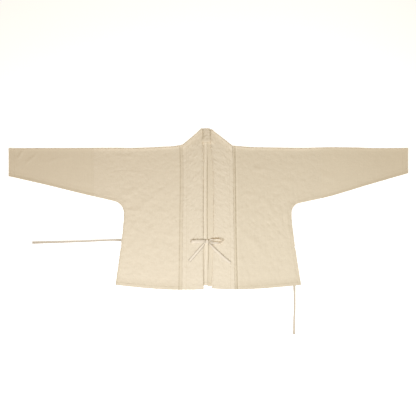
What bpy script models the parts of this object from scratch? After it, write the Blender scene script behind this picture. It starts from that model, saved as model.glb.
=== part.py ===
"""A front-opening jacket of plain woven cloth, laid out flat with its front up.

Units are metres. +X runs to the wearer's left cuff, +Y to the collar, and +Z up from
the surface that the jacket lies on. The origin is on that surface, under the middle of
the jacket without its ties. Each half is worked out on a flat plan of (out, y), where
out is the distance from the middle towards that half's cuff.
"""

import math
from collections import namedtuple

import bmesh
import bpy
from mathutils import Vector

# Cloth and seams
CLOTH = 0.0012
BAND = 0.0022
SEAM_GAP = 0.0003
UP = Vector((0.0, 0.0, 1.0))

# Air between the front and the back layer
GAP_INSIDE = 0.0008
GAP_FOLD = 0.0020
GAP_SEAM = 0.0016
GAP_TIE = 0.0022
FOLD_REACH = 0.034
SEAM_RIM = 0.012
SEAM_REACH = 0.024
TIE_REACH = 0.036
TIE_FADE = 0.060
TIE_GAP_FULL = -0.105
TIE_GAP_NONE = -0.060

# Raised strips: turned hems, and the seam allowance stitched down beside the band
HEM_WIDTH = 0.012
CUFF_HEM_WIDTH = 0.023
HEM_RISE = 0.0004
STRIP_WIDTH = 0.012
STRIP_RISE = 0.0006
STRIP_STEP = 0.0006

# Centre back seam, with its allowance pressed to the wearer's right
CENTRE_SEAM_X = -0.0014
ALLOWANCE_WIDTH = 0.0145
ALLOWANCE_RISE = 0.0009
BACK_COLUMNS = (0.085, 0.055, 0.030)

# Heights on the plan: the collar, the neck seam, the side slit and the hem
COLLAR_TOP = 0.3226
NECK_CENTRE = 0.2660
SHOULDER_AT_BAND = 0.250
SLIT_TOP = -0.150
SLIT_EASE = 0.016
HEM_SIDE = -0.3035
HEM_LEVEL_FROM = 0.095
SIDE_FLARE_FROM = 0.018
ARMPIT_FOLD_OUT = 0.004

# The collar band
BAND_GAP = 0.0006
BAND_FOLD_GAP = 0.0004
BAND_ROLL = 0.0009
ROLL_REACH = 0.020
BAND_HIGH_FROM = 0.185
BAND_HIGH_TO = 0.240
NECK_CORNER_REACH = 0.045
NECK_TURN_SHARE = 0.15

# Tapes
TAPE = 0.0012
TAPE_WIDTH = 0.010
FLOOR_CLEAR = 0.0001

# How finely the cloth is divided
FOLD_STEPS = 4
BAND_FOLD_STEPS = 6
SLEEVE_COLUMNS = 13
SLEEVE_BETWEEN = 4
BODY_COLUMNS = 8
UPPER_ROWS = 6
LOWER_ROWS = 12
ARMPIT_STEPS = 5
ARC_PIECES = 8
EDGE_PIECE = 0.012
SLOPE_STEP = 0.002
TOP_SHIFT = 0.0007
COLUMN_STEP = 0.0001
EDGE_STEPS = (0.0, 0.005, 0.012, 0.025)
STRIP_STEPS = (0.0, STRIP_WIDTH - STRIP_STEP, STRIP_WIDTH)
HEM_STEPS = (0.0, HEM_WIDTH - STRIP_STEP, HEM_WIDTH)
CUFF_STEPS = (0.0, CUFF_HEM_WIDTH - STRIP_STEP, CUFF_HEM_WIDTH)
BAND_FRONT_ROWS = 22
BAND_BACK_ROWS = 6

# The collar band across its width: the share of the width, and of the full thickness
BandThread = namedtuple("BandThread", "share thickness")
BAND_THREADS = (
    BandThread(0.00, 0.55),
    BandThread(0.02, 0.85),
    BandThread(0.08, 1.00),
    BandThread(0.36, 1.00),
    BandThread(0.64, 1.00),
    BandThread(0.92, 1.00),
    BandThread(0.98, 0.85),
    BandThread(1.00, 0.55))

# Creases in the front: a soft ridge from one place of the plan to another
Crease = namedtuple("Crease", "out y to_out to_y rise reach")

CREASES = {
    "right": (
        Crease(0.394, 0.140, 0.190, 0.152, 0.0017, 0.016),
        Crease(0.768, 0.198, 0.740, 0.240, 0.0015, 0.012),
        Crease(0.690, 0.222, 0.640, 0.206, 0.0009, 0.018),
        Crease(0.330, 0.040, 0.270, 0.100, 0.0008, 0.020),
        Crease(0.300, -0.030, 0.220, 0.050, 0.0006, 0.026)),
    "left": (
        Crease(0.118, -0.064, 0.246, -0.212, 0.0009, 0.020),
        Crease(0.212, 0.050, 0.272, -0.036, 0.0009, 0.018),
        Crease(0.304, 0.024, 0.328, -0.124, 0.0010, 0.020),
        Crease(0.240, 0.156, 0.170, 0.158, 0.0008, 0.014),
        Crease(0.520, 0.110, 0.430, 0.150, 0.0009, 0.022))}

# One half of the jacket. The tables hold (out, y) or (y, out) rows, low to high.
Half = namedtuple("Half", (
    "name", "sign", "cuff_out", "sleeve_seam", "shoulder", "underside",
    "side_out", "armpit_radius", "flare", "flare_power", "hem_sag", "hem_lift", "back_sag",
    "band_outer", "band_inner", "collar_corner", "neck_corner", "tie_inside"))

RIGHT = Half(
    name="right",
    sign=-1.0,
    cuff_out=0.7980,
    sleeve_seam=0.4576,
    shoulder=((0.1036, 0.2562), (0.1216, 0.2530), (0.1456, 0.2500), (0.1936, 0.2477),
              (0.2656, 0.2442), (0.3136, 0.2430), (0.3616, 0.2438), (0.5600, 0.2430),
              (0.7980, 0.2424)),
    underside=((0.338, 0.0222), (0.400, 0.0365), (0.4476, 0.0474), (0.5436, 0.0704),
               (0.6396, 0.0942), (0.7980, 0.1306)),
    side_out=0.338,
    armpit_radius=0.050,
    flare=0.0332,
    flare_power=1.2,
    hem_sag=0.0199,
    hem_lift=0.0022,
    back_sag=0.0020,
    band_outer=((-0.3234, 0.1056), (-0.100, 0.1030), (0.150, 0.1006), (0.256, 0.1026),
                (0.330, 0.1030)),
    band_inner=((-0.3234, 0.0192), (-0.100, 0.0208), (0.200, 0.0215), (0.330, 0.0245)),
    collar_corner=(0.0262, 0.3226),
    neck_corner=(0.1027, 0.2557),
    tie_inside=False)

LEFT = Half(
    name="left",
    sign=1.0,
    cuff_out=0.7980,
    sleeve_seam=0.4504,
    shoulder=((0.0970, 0.2526), (0.1184, 0.2508), (0.1664, 0.2474), (0.2384, 0.2456),
              (0.3824, 0.2439), (0.4784, 0.2462), (0.5744, 0.2455), (0.6704, 0.2428),
              (0.7980, 0.2434)),
    underside=((0.3330, 0.0165), (0.3844, 0.0274), (0.4804, 0.0490), (0.5504, 0.0694),
               (0.6384, 0.0962), (0.7980, 0.1426)),
    side_out=0.333,
    armpit_radius=0.039,
    flare=0.0375,
    flare_power=1.2,
    hem_sag=0.0182,
    hem_lift=0.0050,
    back_sag=0.0050,
    band_outer=((-0.3234, 0.1060), (-0.100, 0.1020), (0.200, 0.0982), (0.330, 0.0968)),
    band_inner=((-0.3234, 0.0135), (-0.200, 0.0180), (-0.100, 0.0204), (0.100, 0.0204),
                (0.200, 0.0160), (0.250, 0.0105), (0.330, 0.0085)),
    collar_corner=(0.0130, 0.3188),
    neck_corner=(0.0966, 0.2522),
    tie_inside=True)

HALVES = (RIGHT, LEFT)

# Colours of the cloth, linear, with their roughness
Finish = namedtuple("Finish", "colour roughness")
PANEL_FINISH = Finish((0.730, 0.625, 0.470), 0.90)
SLEEVE_FINISH = Finish((0.700, 0.590, 0.430), 0.90)
BAND_FINISH = Finish((0.760, 0.655, 0.500), 0.88)
TAPE_FINISH = Finish((0.780, 0.680, 0.530), 0.86)


def smooth_value(rows, at):
    """The value of a smooth line through (place, value) rows."""
    if at <= rows[0][0]:
        return rows[0][1]
    if at >= rows[-1][0]:
        return rows[-1][1]
    slopes = []
    last = len(rows) - 1
    for k in range(len(rows)):
        before = rows[max(k - 1, 0)]
        after = rows[min(k + 1, last)]
        slopes.append((after[1] - before[1]) / (after[0] - before[0]))
    k = max(n for n in range(last) if rows[n][0] <= at)
    span = rows[k + 1][0] - rows[k][0]
    t = (at - rows[k][0]) / span
    start = (1 + 2 * t) * (1 - t) ** 2 * rows[k][1] + t * (1 - t) ** 2 * span * slopes[k]
    end = t * t * (3 - 2 * t) * rows[k + 1][1] - t * t * (1 - t) * span * slopes[k + 1]
    return start + end


def fade(distance, full, none):
    """1 up to the distance full, 0 from the distance none on, and smooth between."""
    t = min(max((distance - full) / (none - full), 0.0), 1.0)
    return 1.0 - t * t * (3.0 - 2.0 * t)


def graded(length, near_start, near_end, between):
    """Fractions of a length: set distances at both ends, and even steps between."""
    free = length - near_start[-1] - near_end[-1]
    places = list(near_start)
    places += [near_start[-1] + free * k / between for k in range(1, between)]
    places += [length - step for step in reversed(near_end)]
    return [place / length for place in places]


def mix(a, b, t):
    """The point or number at the share t of the way from a to b."""
    return a + (b - a) * t


class Plan:
    """The flat outline of one half and the height of its layers."""

    def __init__(self, half):
        self.half = half
        near, far = half.underside[0], half.underside[1]
        self.slope = (far[1] - near[1]) / (far[0] - near[0])
        length = math.hypot(1.0, self.slope)
        radius = half.armpit_radius
        centre_out = half.side_out + radius
        line_y = near[1] + self.slope * (centre_out - near[0])
        self.centre = Vector((centre_out, line_y - radius * length))
        self.armpit_y = self.centre.y
        self.arc_start = math.atan2(1.0, -self.slope)
        self.arc_out = centre_out - radius * self.slope / length
        self.edge_line = self.seam_edge()

    def side(self, y):
        """The side seam's distance out at the height y."""
        start = self.armpit_y - SIDE_FLARE_FROM
        t = max((start - y) / (start - HEM_SIDE), 0.0)
        return self.half.side_out + self.half.flare * t ** self.half.flare_power

    def shoulder(self, out):
        """The height of the fold along the shoulder and the top of the sleeve."""
        return smooth_value(self.half.shoulder, out)

    def under_point(self, out):
        """A point of the sleeve's underside seam, with its outward direction."""
        first = self.half.underside[0]
        if out < self.half.underside[1][0]:
            slope = self.slope
            y = first[1] + slope * (out - first[0])
        else:
            ahead = smooth_value(self.half.underside, out + SLOPE_STEP)
            behind = smooth_value(self.half.underside, out - SLOPE_STEP)
            slope = (ahead - behind) / (2 * SLOPE_STEP)
            y = smooth_value(self.half.underside, out)
        return Vector((out, y)), Vector((slope, -1.0)).normalized()

    def armpit_point(self, t):
        """A point of the armpit's arc, from the sleeve at t = 0 to the side at t = 1."""
        angle = mix(self.arc_start, math.pi, t)
        ray = Vector((math.cos(angle), math.sin(angle)))
        return self.centre + ray * self.half.armpit_radius, -ray

    def side_point(self, y):
        """A point of the side seam, with its outward direction."""
        lean = (self.side(y + SLOPE_STEP) - self.side(y - SLOPE_STEP)) / (2 * SLOPE_STEP)
        return Vector((self.side(y), y)), Vector((1.0, -lean)).normalized()

    def seam_edge(self):
        """Points along the underside, the armpit and the side, down to the hem."""
        line = []
        count = int((self.half.cuff_out - self.arc_out) / EDGE_PIECE)
        for k in range(count + 1):
            line.append(self.under_point(mix(self.half.cuff_out, self.arc_out, k / count))[0])
        for k in range(1, ARC_PIECES + 1):
            line.append(self.armpit_point(k / ARC_PIECES)[0])
        count = int((self.armpit_y - HEM_SIDE) / EDGE_PIECE)
        for k in range(1, count + 1):
            line.append(self.side_point(mix(self.armpit_y, HEM_SIDE, k / count))[0])
        return line

    def seam_distance(self, out, y):
        """How far a place in the plan lies from the underside and side seam."""
        place = Vector((out, y))
        best = 1.0
        for a, b in zip(self.edge_line, self.edge_line[1:]):
            along = b - a
            t = min(max((place - a).dot(along) / along.length_squared, 0.0), 1.0)
            best = min(best, (place - a - along * t).length)
        return best

    def hem(self, out):
        """The height of the front's hem."""
        corner = self.side(HEM_SIDE)
        share = min((corner - out) / (corner - HEM_LEVEL_FROM), 1.0)
        inner = max(HEM_LEVEL_FROM - out, 0.0) / HEM_LEVEL_FROM
        sag = self.half.hem_sag * math.sin(math.pi / 2 * max(share, 0.0))
        return HEM_SIDE - sag + self.half.hem_lift * inner * inner

    def back_hem(self, out):
        """The height of the back's hem."""
        share = min(max(out, 0.0) / self.side(HEM_SIDE), 1.0)
        return HEM_SIDE - self.half.back_sag * (1.0 - share * share)

    def band_outer(self, y):
        """Where the collar band is sewn to the front."""
        return smooth_value(self.half.band_outer, y)

    def band_inner(self, y):
        """The collar band's free edge at the opening."""
        return smooth_value(self.half.band_inner, y)

    def gap(self, out, y):
        """The air between the two layers, which the folds, seams and a tie hold open."""
        gap = GAP_INSIDE
        top = self.shoulder(out) - y
        gap += (GAP_FOLD - GAP_INSIDE) * fade(top, 0.006, FOLD_REACH)
        edge = self.seam_distance(out, y)
        gap += (GAP_SEAM - GAP_INSIDE) * fade(edge, SEAM_RIM, SEAM_REACH)
        if self.half.tie_inside:
            share = fade(edge, TIE_REACH, TIE_FADE) * fade(y, TIE_GAP_FULL, TIE_GAP_NONE)
            gap = mix(gap, max(gap, GAP_TIE), share)
        return gap

    def crease(self, out, y):
        """How far the creases lift the front."""
        place = Vector((out, y))
        rise = 0.0
        for crease in CREASES[self.half.name]:
            start = Vector((crease.out, crease.y))
            along = Vector((crease.to_out, crease.to_y)) - start
            t = (place - start).dot(along) / along.length_squared
            across = (place - start - along * min(max(t, 0.0), 1.0)).length
            ends = max(1.0 - (2.0 * t - 1.0) ** 2, 0.0)
            rise = max(rise, crease.rise * ends * fade(across, 0.0, crease.reach))
        return rise

    def front_mid(self, out, y):
        """The height of the middle of the front layer."""
        return CLOTH + self.gap(out, y) + self.crease(out, y) + CLOTH / 2

    def place(self, out, y, z):
        """A point of the plan in the jacket's own frame."""
        return Vector((self.half.sign * out, y, z))

    def direction(self, flat, rise):
        """A direction of the plan in the jacket's own frame."""
        return Vector((self.half.sign * flat.x, flat.y, rise))


PLANS = {half.name: Plan(half) for half in HALVES}


def neck_seam(x):
    """The height of the seam between the back and the collar, at a place across."""
    half = RIGHT if x < CENTRE_SEAM_X else LEFT
    start = half.sign * half.band_outer[-1][1]
    y = neck_axis_point(half, 0.0).y
    share = min(max((x - start) / (CENTRE_SEAM_X - start), 0.0), 1.0)
    return mix(y, NECK_CENTRE, math.sin(math.pi / 2 * share))


class Shell:
    """A wall of cloth made from its middle surface."""

    def __init__(self):
        self.index = {}
        self.middle = []
        self.normal = []
        self.outward = []
        self.inward = []
        self.faces = []

    def add(self, key, point, normal, outward=CLOTH / 2, inward=CLOTH / 2):
        """Store a point of the middle surface under a key."""
        self.index[key] = len(self.middle)
        self.middle.append(point)
        self.normal.append(normal.normalized())
        self.outward.append(outward)
        self.inward.append(inward)

    def quad(self, *keys):
        """Join four stored points by a face, where all four are there."""
        if all(key in self.index for key in keys):
            self.faces.append([self.index[key] for key in keys])

    def facing(self):
        """Above zero where the faces look the way that the normals point."""
        a, b, c = (self.middle[n] for n in self.faces[0][:3])
        return (b - a).cross(c - a).dot(self.normal[self.faces[0][0]])

    def build(self, name, finish):
        """Make the closed wall: an outer and an inner skin, and a rim at each open edge."""
        if self.facing() < 0:
            self.faces = [face[::-1] for face in self.faces]
        mesh = bmesh.new()
        outer = []
        inner = []
        for point, normal, out, into in zip(self.middle, self.normal, self.outward, self.inward):
            outer.append(mesh.verts.new(point + normal * out))
            inner.append(mesh.verts.new(point - normal * into))
        edges = set()
        for face in self.faces:
            for a, b in zip(face, face[1:] + face[:1]):
                edges.add((a, b))
            mesh.faces.new([outer[n] for n in face])
            mesh.faces.new([inner[n] for n in reversed(face)])
        for a, b in sorted(edges):
            if (b, a) not in edges:
                mesh.faces.new((outer[b], outer[a], inner[a], inner[b]))
        return finish_object(name, mesh, finish)


def finish_object(name, mesh, finish):
    """Turn a bmesh into a named object with its own material."""
    data = bpy.data.meshes.new(name)
    mesh.to_mesh(data)
    mesh.free()
    material = bpy.data.materials.new(name + "_cloth")
    material.use_nodes = True
    shader = material.node_tree.nodes["Principled BSDF"]
    shader.inputs["Base Color"].default_value = (*finish.colour, 1.0)
    shader.inputs["Roughness"].default_value = finish.roughness
    shader.inputs["Metallic"].default_value = 0.0
    data.materials.append(material)
    made = bpy.data.objects.new(name, data)
    bpy.context.scene.collection.objects.link(made)
    return made


def turned_points(front, back, outward, steps):
    """Points and directions round a fold, between the front's and the back's point."""
    middle = (front + back) / 2
    radius = (front.z - back.z) / 2
    for k in range(1, steps):
        angle = math.pi * k / steps
        ray = outward * math.sin(angle) + UP * math.cos(angle)
        yield k, middle + ray * radius, ray


def join_layers(shell, plan, chain, forwards, tag):
    """Turn the front layer round into the back layer along a chain of (column, row, flat)."""
    for column, row, flat in chain:
        front = shell.middle[shell.index["front", column, row]]
        back = shell.middle[shell.index["back", column, row]]
        rise = shell.outward[shell.index["front", column, row]] - CLOTH / 2
        for k, point, ray in turned_points(front, back, plan.direction(flat, 0.0), FOLD_STEPS):
            share = (1.0 + ray.z) / 2
            shell.add((tag, column, row, k), point, ray, CLOTH / 2 + rise * share)

    def key(entry, k):
        column, row = entry[:2]
        if k == 0:
            return "front", column, row
        if k == FOLD_STEPS:
            return "back", column, row
        return tag, column, row, k

    for a, b in zip(chain, chain[1:]):
        first, second = (a, b) if forwards else (b, a)
        for k in range(FOLD_STEPS):
            shell.quad(key(first, k), key(second, k), key(second, k + 1), key(first, k + 1))


def fold_inset(plan, out, y):
    """How far the layers' edge lies inside the outline of a fold or a joined seam."""
    return (plan.front_mid(out, y) - CLOTH / 2) / 2 + CLOTH / 2


def top_edge(plan, out):
    """The layers' edge at the shoulder fold."""
    y = plan.shoulder(out)
    return Vector((out, y - fold_inset(plan, out, y)))


def joined_edge(plan, point, flat):
    """The layers' edge at the underside, armpit or side seam."""
    return point - flat * fold_inset(plan, point.x, point.y)


def add_layers(shell, plan, column, row, flat_point, rise=0.0):
    """Add a place of the plan to both layers."""
    out, y = flat_point
    front = plan.place(out, y, plan.front_mid(out, y))
    shell.add(("front", column, row), front, UP, CLOTH / 2 + rise)
    shell.add(("back", column, row), plan.place(out, y, CLOTH / 2), -UP)


def layer_quads(shell, columns, rows):
    """Join neighbouring places within the front layer and within the back layer."""
    for i in columns:
        for j in rows:
            shell.quad(*(("front",) + at for at in ((i, j), (i + 1, j), (i + 1, j + 1), (i, j + 1))))
            shell.quad(*(("back",) + at for at in ((i, j + 1), (i + 1, j + 1), (i + 1, j), (i, j))))


def make_sleeve(half):
    """A sleeve: one piece of cloth, folded at the top and sewn along the underside."""
    plan = PLANS[half.name]
    shell = Shell()
    seam = half.sleeve_seam + SEAM_GAP / 2
    shares = graded(half.cuff_out - seam, CUFF_STEPS, (0.0,), SLEEVE_COLUMNS)
    top_chain = []
    under_chain = []
    for i, share in enumerate(shares):
        out = mix(half.cuff_out, seam, share)
        rise = HEM_RISE * fade(half.cuff_out - out, CUFF_HEM_WIDTH - STRIP_STEP, CUFF_HEM_WIDTH)
        top = top_edge(plan, out)
        point, flat = plan.under_point(out)
        low = joined_edge(plan, point, flat)
        low.x = out
        rows = graded((top - low).length, EDGE_STEPS, EDGE_STEPS, SLEEVE_BETWEEN)
        for j, down in enumerate(rows):
            add_layers(shell, plan, i, j, mix(top, low, down), rise)
        top_chain.append((i, 0, Vector((0.0, 1.0))))
        under_chain.append((i, len(rows) - 1, flat))
    layer_quads(shell, range(len(shares)), range(len(rows)))
    join_layers(shell, plan, top_chain, False, "top")
    join_layers(shell, plan, under_chain, True, "under")
    return shell.build("sleeve_" + half.name, SLEEVE_FINISH)


def strip_rise(plan, out, y):
    """How far the turned hem and the stitched allowance stand proud of the front."""
    hem = HEM_RISE * fade(y - plan.hem(out), HEM_WIDTH - STRIP_STEP, HEM_WIDTH)
    from_band = out - plan.band_outer(y) - SEAM_GAP
    strip = STRIP_RISE * fade(from_band, STRIP_WIDTH - STRIP_STEP, STRIP_WIDTH)
    return max(hem, strip)


def make_body(half):
    """A body panel: front and back in one, folded at the shoulder, with a side slit."""
    plan = PLANS[half.name]
    shell = Shell()
    seam = half.sleeve_seam - SEAM_GAP / 2
    armpit_y = plan.armpit_y

    # The joined edge from the sleeve seam round the armpit
    under = []
    for share in (0.0, 0.5, 1.0):
        under.append(plan.under_point(mix(seam, plan.arc_out, share)))
    for k in range(1, ARMPIT_STEPS + 1):
        under.append(plan.armpit_point(k / ARMPIT_STEPS))
    turn = len(under) - 1
    low_edge = [joined_edge(plan, point, flat) for point, flat in under]
    low_edge[0].x = seam
    armpit_top = half.side_out + ARMPIT_FOLD_OUT

    # Columns from the side seam in to the collar band, as shares of the width
    width = half.side_out - plan.band_outer(armpit_y)
    shares = [1.0 - share for share in graded(width, EDGE_STEPS, STRIP_STEPS, BODY_COLUMNS)]
    edge = turn + len(shares) - 1

    def side_edge(y):
        inset = fold_inset(plan, plan.side(y), y)
        return plan.side(y) - inset * fade(SLIT_TOP - y, 0.0, SLIT_EASE)

    def band_edge(y):
        return plan.band_outer(y) + SEAM_GAP

    def inner_columns(share, y):
        return mix(band_edge(y), side_edge(min(y, armpit_y)), share)

    # Upper block, from the shoulder to the armpit
    top_chain = []
    for i in range(edge + 1):
        if i < turn:
            top = top_edge(plan, mix(seam, armpit_top, i / turn))
            low = low_edge[i]
        elif i == turn:
            top = top_edge(plan, armpit_top)
            low = low_edge[i]
        else:
            share = shares[i - turn]
            top = top_edge(plan, mix(band_edge(SHOULDER_AT_BAND), armpit_top, share))
            if i == edge:
                top.x += TOP_SHIFT
            low = Vector((inner_columns(share, armpit_y), armpit_y))
        rows = graded((top - low).length, EDGE_STEPS, EDGE_STEPS, UPPER_ROWS)
        for j, down in enumerate(rows):
            flat_point = mix(top, low, down)
            if i == edge and j > 0:
                flat_point.x = band_edge(flat_point.y)
            rise = 0.0
            if i > turn:
                rise = strip_rise(plan, flat_point.x, flat_point.y)
            add_layers(shell, plan, i, j, flat_point, rise)
        top_chain.append((i, 0, Vector((0.0, 1.0))))
    upper = len(rows) - 1

    # Lower block, from the armpit to the hem
    down_shares = graded(armpit_y - HEM_SIDE, (0.0,), HEM_STEPS, LOWER_ROWS)
    lower = upper + len(down_shares) - 1
    for i in range(turn, edge + 1):
        share = shares[i - turn]
        for j in range(upper + 1, lower + 1):
            down = down_shares[j - upper]
            guess = inner_columns(share, mix(armpit_y, HEM_SIDE, down))
            y = mix(armpit_y, plan.hem(guess), down)
            out = inner_columns(share, y)
            front = plan.place(out, y, plan.front_mid(out, y))
            rise = strip_rise(plan, out, y)
            shell.add(("front", i, j), front, UP, CLOTH / 2 + rise)
            y = mix(armpit_y, plan.back_hem(guess), down)
            out = inner_columns(share, y)
            shell.add(("back", i, j), plan.place(out, y, CLOTH / 2), -UP)

    # The back goes on past the band to the centre back seam
    centre = half.sign * CENTRE_SEAM_X + SEAM_GAP / 2
    allowance = half is RIGHT
    start = band_edge(SHOULDER_AT_BAND)
    places = [start - COLUMN_STEP, *BACK_COLUMNS]
    places += [centre + ALLOWANCE_WIDTH, centre + ALLOWANCE_WIDTH - STRIP_STEP, centre]
    for n, out in enumerate(places):
        i = edge + 1 + n
        neck = neck_seam(half.sign * out) - 2 * SEAM_GAP
        thick = allowance and out < centre + ALLOWANCE_WIDTH - STRIP_STEP / 2
        inward = CLOTH / 2 + (ALLOWANCE_RISE if thick else 0.0)
        for j in range(lower + 1):
            y = shell.middle[shell.index["back", edge, j]].y
            if j <= upper:
                top_y = shell.middle[shell.index["back", edge, 0]].y
                y = mix(neck, armpit_y, (top_y - y) / (top_y - armpit_y))
            else:
                y = mix(armpit_y, plan.back_hem(out), down_shares[j - upper])
            shift = 0.0
            if n == 0 and j > 0:
                shift = band_edge(y) - start
            shell.add(("back", i, j), plan.place(out + shift, y, CLOTH / 2), -UP, CLOTH / 2, inward)
    layer_quads(shell, range(edge + len(places)), range(lower))

    # Joined edges: the shoulder fold, and the underside and side seam down to the slit
    seam_chain = [(i, upper, under[i][1]) for i in range(turn + 1)]
    for j in range(upper + 1, lower + 1):
        y = shell.middle[shell.index["front", turn, j]].y
        if y > SLIT_TOP:
            seam_chain.append((turn, j, plan.side_point(y)[1]))
    join_layers(shell, plan, top_chain, False, "top")
    join_layers(shell, plan, seam_chain, True, "seam")
    return shell.build("body_" + half.name, PANEL_FINISH)


def band_level(y):
    """The height of the middle of the band on the front."""
    low = CLOTH + BAND_GAP + BAND / 2
    high = BAND + BAND_FOLD_GAP + BAND / 2
    return mix(low, high, 1.0 - fade(y, BAND_HIGH_FROM, BAND_HIGH_TO))


FOLD_RADIUS = (BAND + BAND_FOLD_GAP + BAND_ROLL) / 2
FOLD_INSET = FOLD_RADIUS + BAND / 2
STRAIGHT_DOWN = -0.999


def neck_outward(half, across):
    """The outward direction of the collar's slanting fold, straight up at the neck seam."""
    slant = Vector(half.collar_corner) - Vector(half.neck_corner)
    normal = Vector((slant.y, -slant.x)).normalized()
    share = min(across / NECK_TURN_SHARE, 1.0)
    return mix(Vector((0.0, 1.0)), normal, share).normalized()


def neck_axis_point(half, across):
    """The middle of the collar's fold, from the neck seam to the free edge."""
    corner = mix(Vector(half.neck_corner), Vector(half.collar_corner), across)
    return corner - neck_outward(half, across) * FOLD_INSET


def band_half(half):
    """Rows of the collar band on one half, from the front hem to the centre back."""
    plan = PLANS[half.name]
    rows = []
    inner_top = neck_axis_point(half, 1.0)
    for k in range(BAND_FRONT_ROWS + 1):
        row = []
        for across, _ in BAND_THREADS:
            axis = neck_axis_point(half, across)
            hem = plan.hem(mix(plan.band_outer(HEM_SIDE), plan.band_inner(HEM_SIDE), across))
            y = mix(hem, axis.y, k / BAND_FRONT_ROWS)
            out = mix(plan.band_outer(y), plan.band_inner(min(y, inner_top.y)), across)
            nearness = fade(axis.y - y, 0.0, NECK_CORNER_REACH)
            axis_out = mix(plan.band_outer(axis.y), plan.band_inner(axis.y), across)
            out += (axis.x - axis_out) * nearness
            roll = BAND_ROLL * fade(axis.y - y, 0.0, ROLL_REACH)
            row.append((plan.place(out, y, band_level(y) + roll), UP))
        rows.append(row)
    for k in range(1, BAND_FOLD_STEPS):
        angle = math.pi * k / BAND_FOLD_STEPS
        row = []
        for across, _ in BAND_THREADS:
            axis = neck_axis_point(half, across)
            flat = plan.direction(neck_outward(half, across), 0.0)
            ray = flat * math.sin(angle) + UP * math.cos(angle)
            middle = plan.place(axis.x, axis.y, BAND / 2 + FOLD_RADIUS)
            row.append((middle + ray * FOLD_RADIUS, ray))
        rows.append(row)
    seam_start = neck_axis_point(half, 0.0)
    for k in range(BAND_BACK_ROWS + 1):
        row = []
        share = k / BAND_BACK_ROWS
        seam_rise = neck_seam(mix(half.sign * seam_start.x, CENTRE_SEAM_X, share)) - seam_start.y
        free_rise = (COLLAR_TOP - inner_top.y) * math.sin(math.pi / 2 * share)
        for across, _ in BAND_THREADS:
            axis = neck_axis_point(half, across)
            x = mix(half.sign * axis.x, CENTRE_SEAM_X, share)
            y = axis.y + mix(seam_rise, free_rise, across)
            row.append((Vector((x, y, BAND / 2)), -UP))
        rows.append(row)
    return rows


def make_collar():
    """The collar band: one doubled strip from hem to hem, folded over at each shoulder."""
    shell = Shell()
    rows = band_half(RIGHT) + band_half(LEFT)[-2::-1]
    for j, row in enumerate(rows):
        for i, (point, normal) in enumerate(row):
            half_wall = BAND / 2 * BAND_THREADS[i].thickness
            shell.add((i, j), point, normal, half_wall, half_wall)
    for j in range(len(rows) - 1):
        for i in range(len(BAND_THREADS) - 1):
            shell.quad((i, j), (i + 1, j), (i + 1, j + 1), (i, j + 1))
    lower_back_to_surface(shell)
    return shell.build("collar_band", BAND_FINISH)


def lower_back_to_surface(shell):
    """Keep the underside of the thinner edges flat on the surface."""
    for n, normal in enumerate(shell.normal):
        if normal.z < STRAIGHT_DOWN:
            shell.outward[n] = BAND / 2


# Tapes. Each row is a place on the tape's middle line. Heading and lean, in degrees,
# give the direction across the tape: heading in plan from +X, and lean above level.
Stop = namedtuple("Stop", "x y z heading lean width")


def resting(x, y, lean, heading):
    """A stop of a tape that lies on the surface, tipped up on its edge by lean."""
    tip = math.radians(lean)
    height = TAPE_WIDTH / 2 * math.sin(tip) + TAPE / 2 * math.cos(tip) + FLOOR_CLEAR
    return Stop(x, y, height, heading, lean, TAPE_WIDTH)


TIE_Y_RIGHT = -0.1246
TIE_ROOT_Z = 0.0020
TIE_ROOT_X = -PLANS["right"].side(TIE_Y_RIGHT - TAPE_WIDTH / 2) - SEAM_GAP
SIDE_TIE_RIGHT = (
    Stop(TIE_ROOT_X, TIE_Y_RIGHT, TIE_ROOT_Z, 90, 0, TAPE_WIDTH),
    resting(-0.3560, -0.1247, 14, 90),
    resting(-0.3680, -0.1248, 42, 90),
    resting(-0.3836, -0.1250, 54, 90),
    resting(-0.4300, -0.1270, 56, 90),
    resting(-0.5116, -0.1302, 52, 90),
    resting(-0.6076, -0.1330, 44, 90),
    resting(-0.6700, -0.1343, 26, 90),
    resting(-0.7044, -0.1350, 8, 90))

TIE_INSIDE_Z = CLOTH + GAP_TIE / 2
SIDE_TIE_LEFT = (
    Stop(0.3366, -0.1330, TIE_INSIDE_Z, 0, 0, TAPE_WIDTH),
    Stop(0.3374, -0.1700, TIE_INSIDE_Z, 0, 0, TAPE_WIDTH),
    Stop(0.3394, -0.2300, TIE_INSIDE_Z, 0, 0, TAPE_WIDTH),
    Stop(0.3424, -0.2900, TIE_INSIDE_Z, 0, 0, TAPE_WIDTH),
    Stop(0.3432, -0.3085, TIE_INSIDE_Z, 0, 0, TAPE_WIDTH),
    resting(0.3436, -0.3170, 20, 0),
    resting(0.3440, -0.3270, 36, 0),
    resting(0.3442, -0.3500, 44, 0),
    resting(0.3444, -0.4000, 48, 0),
    resting(0.3428, -0.4400, 48, 0),
    resting(0.3424, -0.4800, 34, 0),
    resting(0.3424, -0.5020, 4, 0))

# The bow. Both tapes pass twice through the knot, one above the other.
KNOT_X = -0.0056
KNOT_Y = -0.1305
KNOT_HALF = 0.0045
SLOT = 0.00275
LOW = 0.0048
HIGH = 0.0063
ON_BAND = 0.0050
KNOT_TAPE = 0.005

KNOT_LEFT = KNOT_X - KNOT_HALF
KNOT_RIGHT = KNOT_X + KNOT_HALF
ROOT_Y_RIGHT = -0.1277
ROOT_Y_LEFT = -0.1295
ROOT_X_RIGHT = SEAM_GAP - PLANS["right"].band_inner(ROOT_Y_RIGHT)
ROOT_X_LEFT = PLANS["left"].band_inner(ROOT_Y_LEFT - 0.003) - 2 * SEAM_GAP

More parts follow.
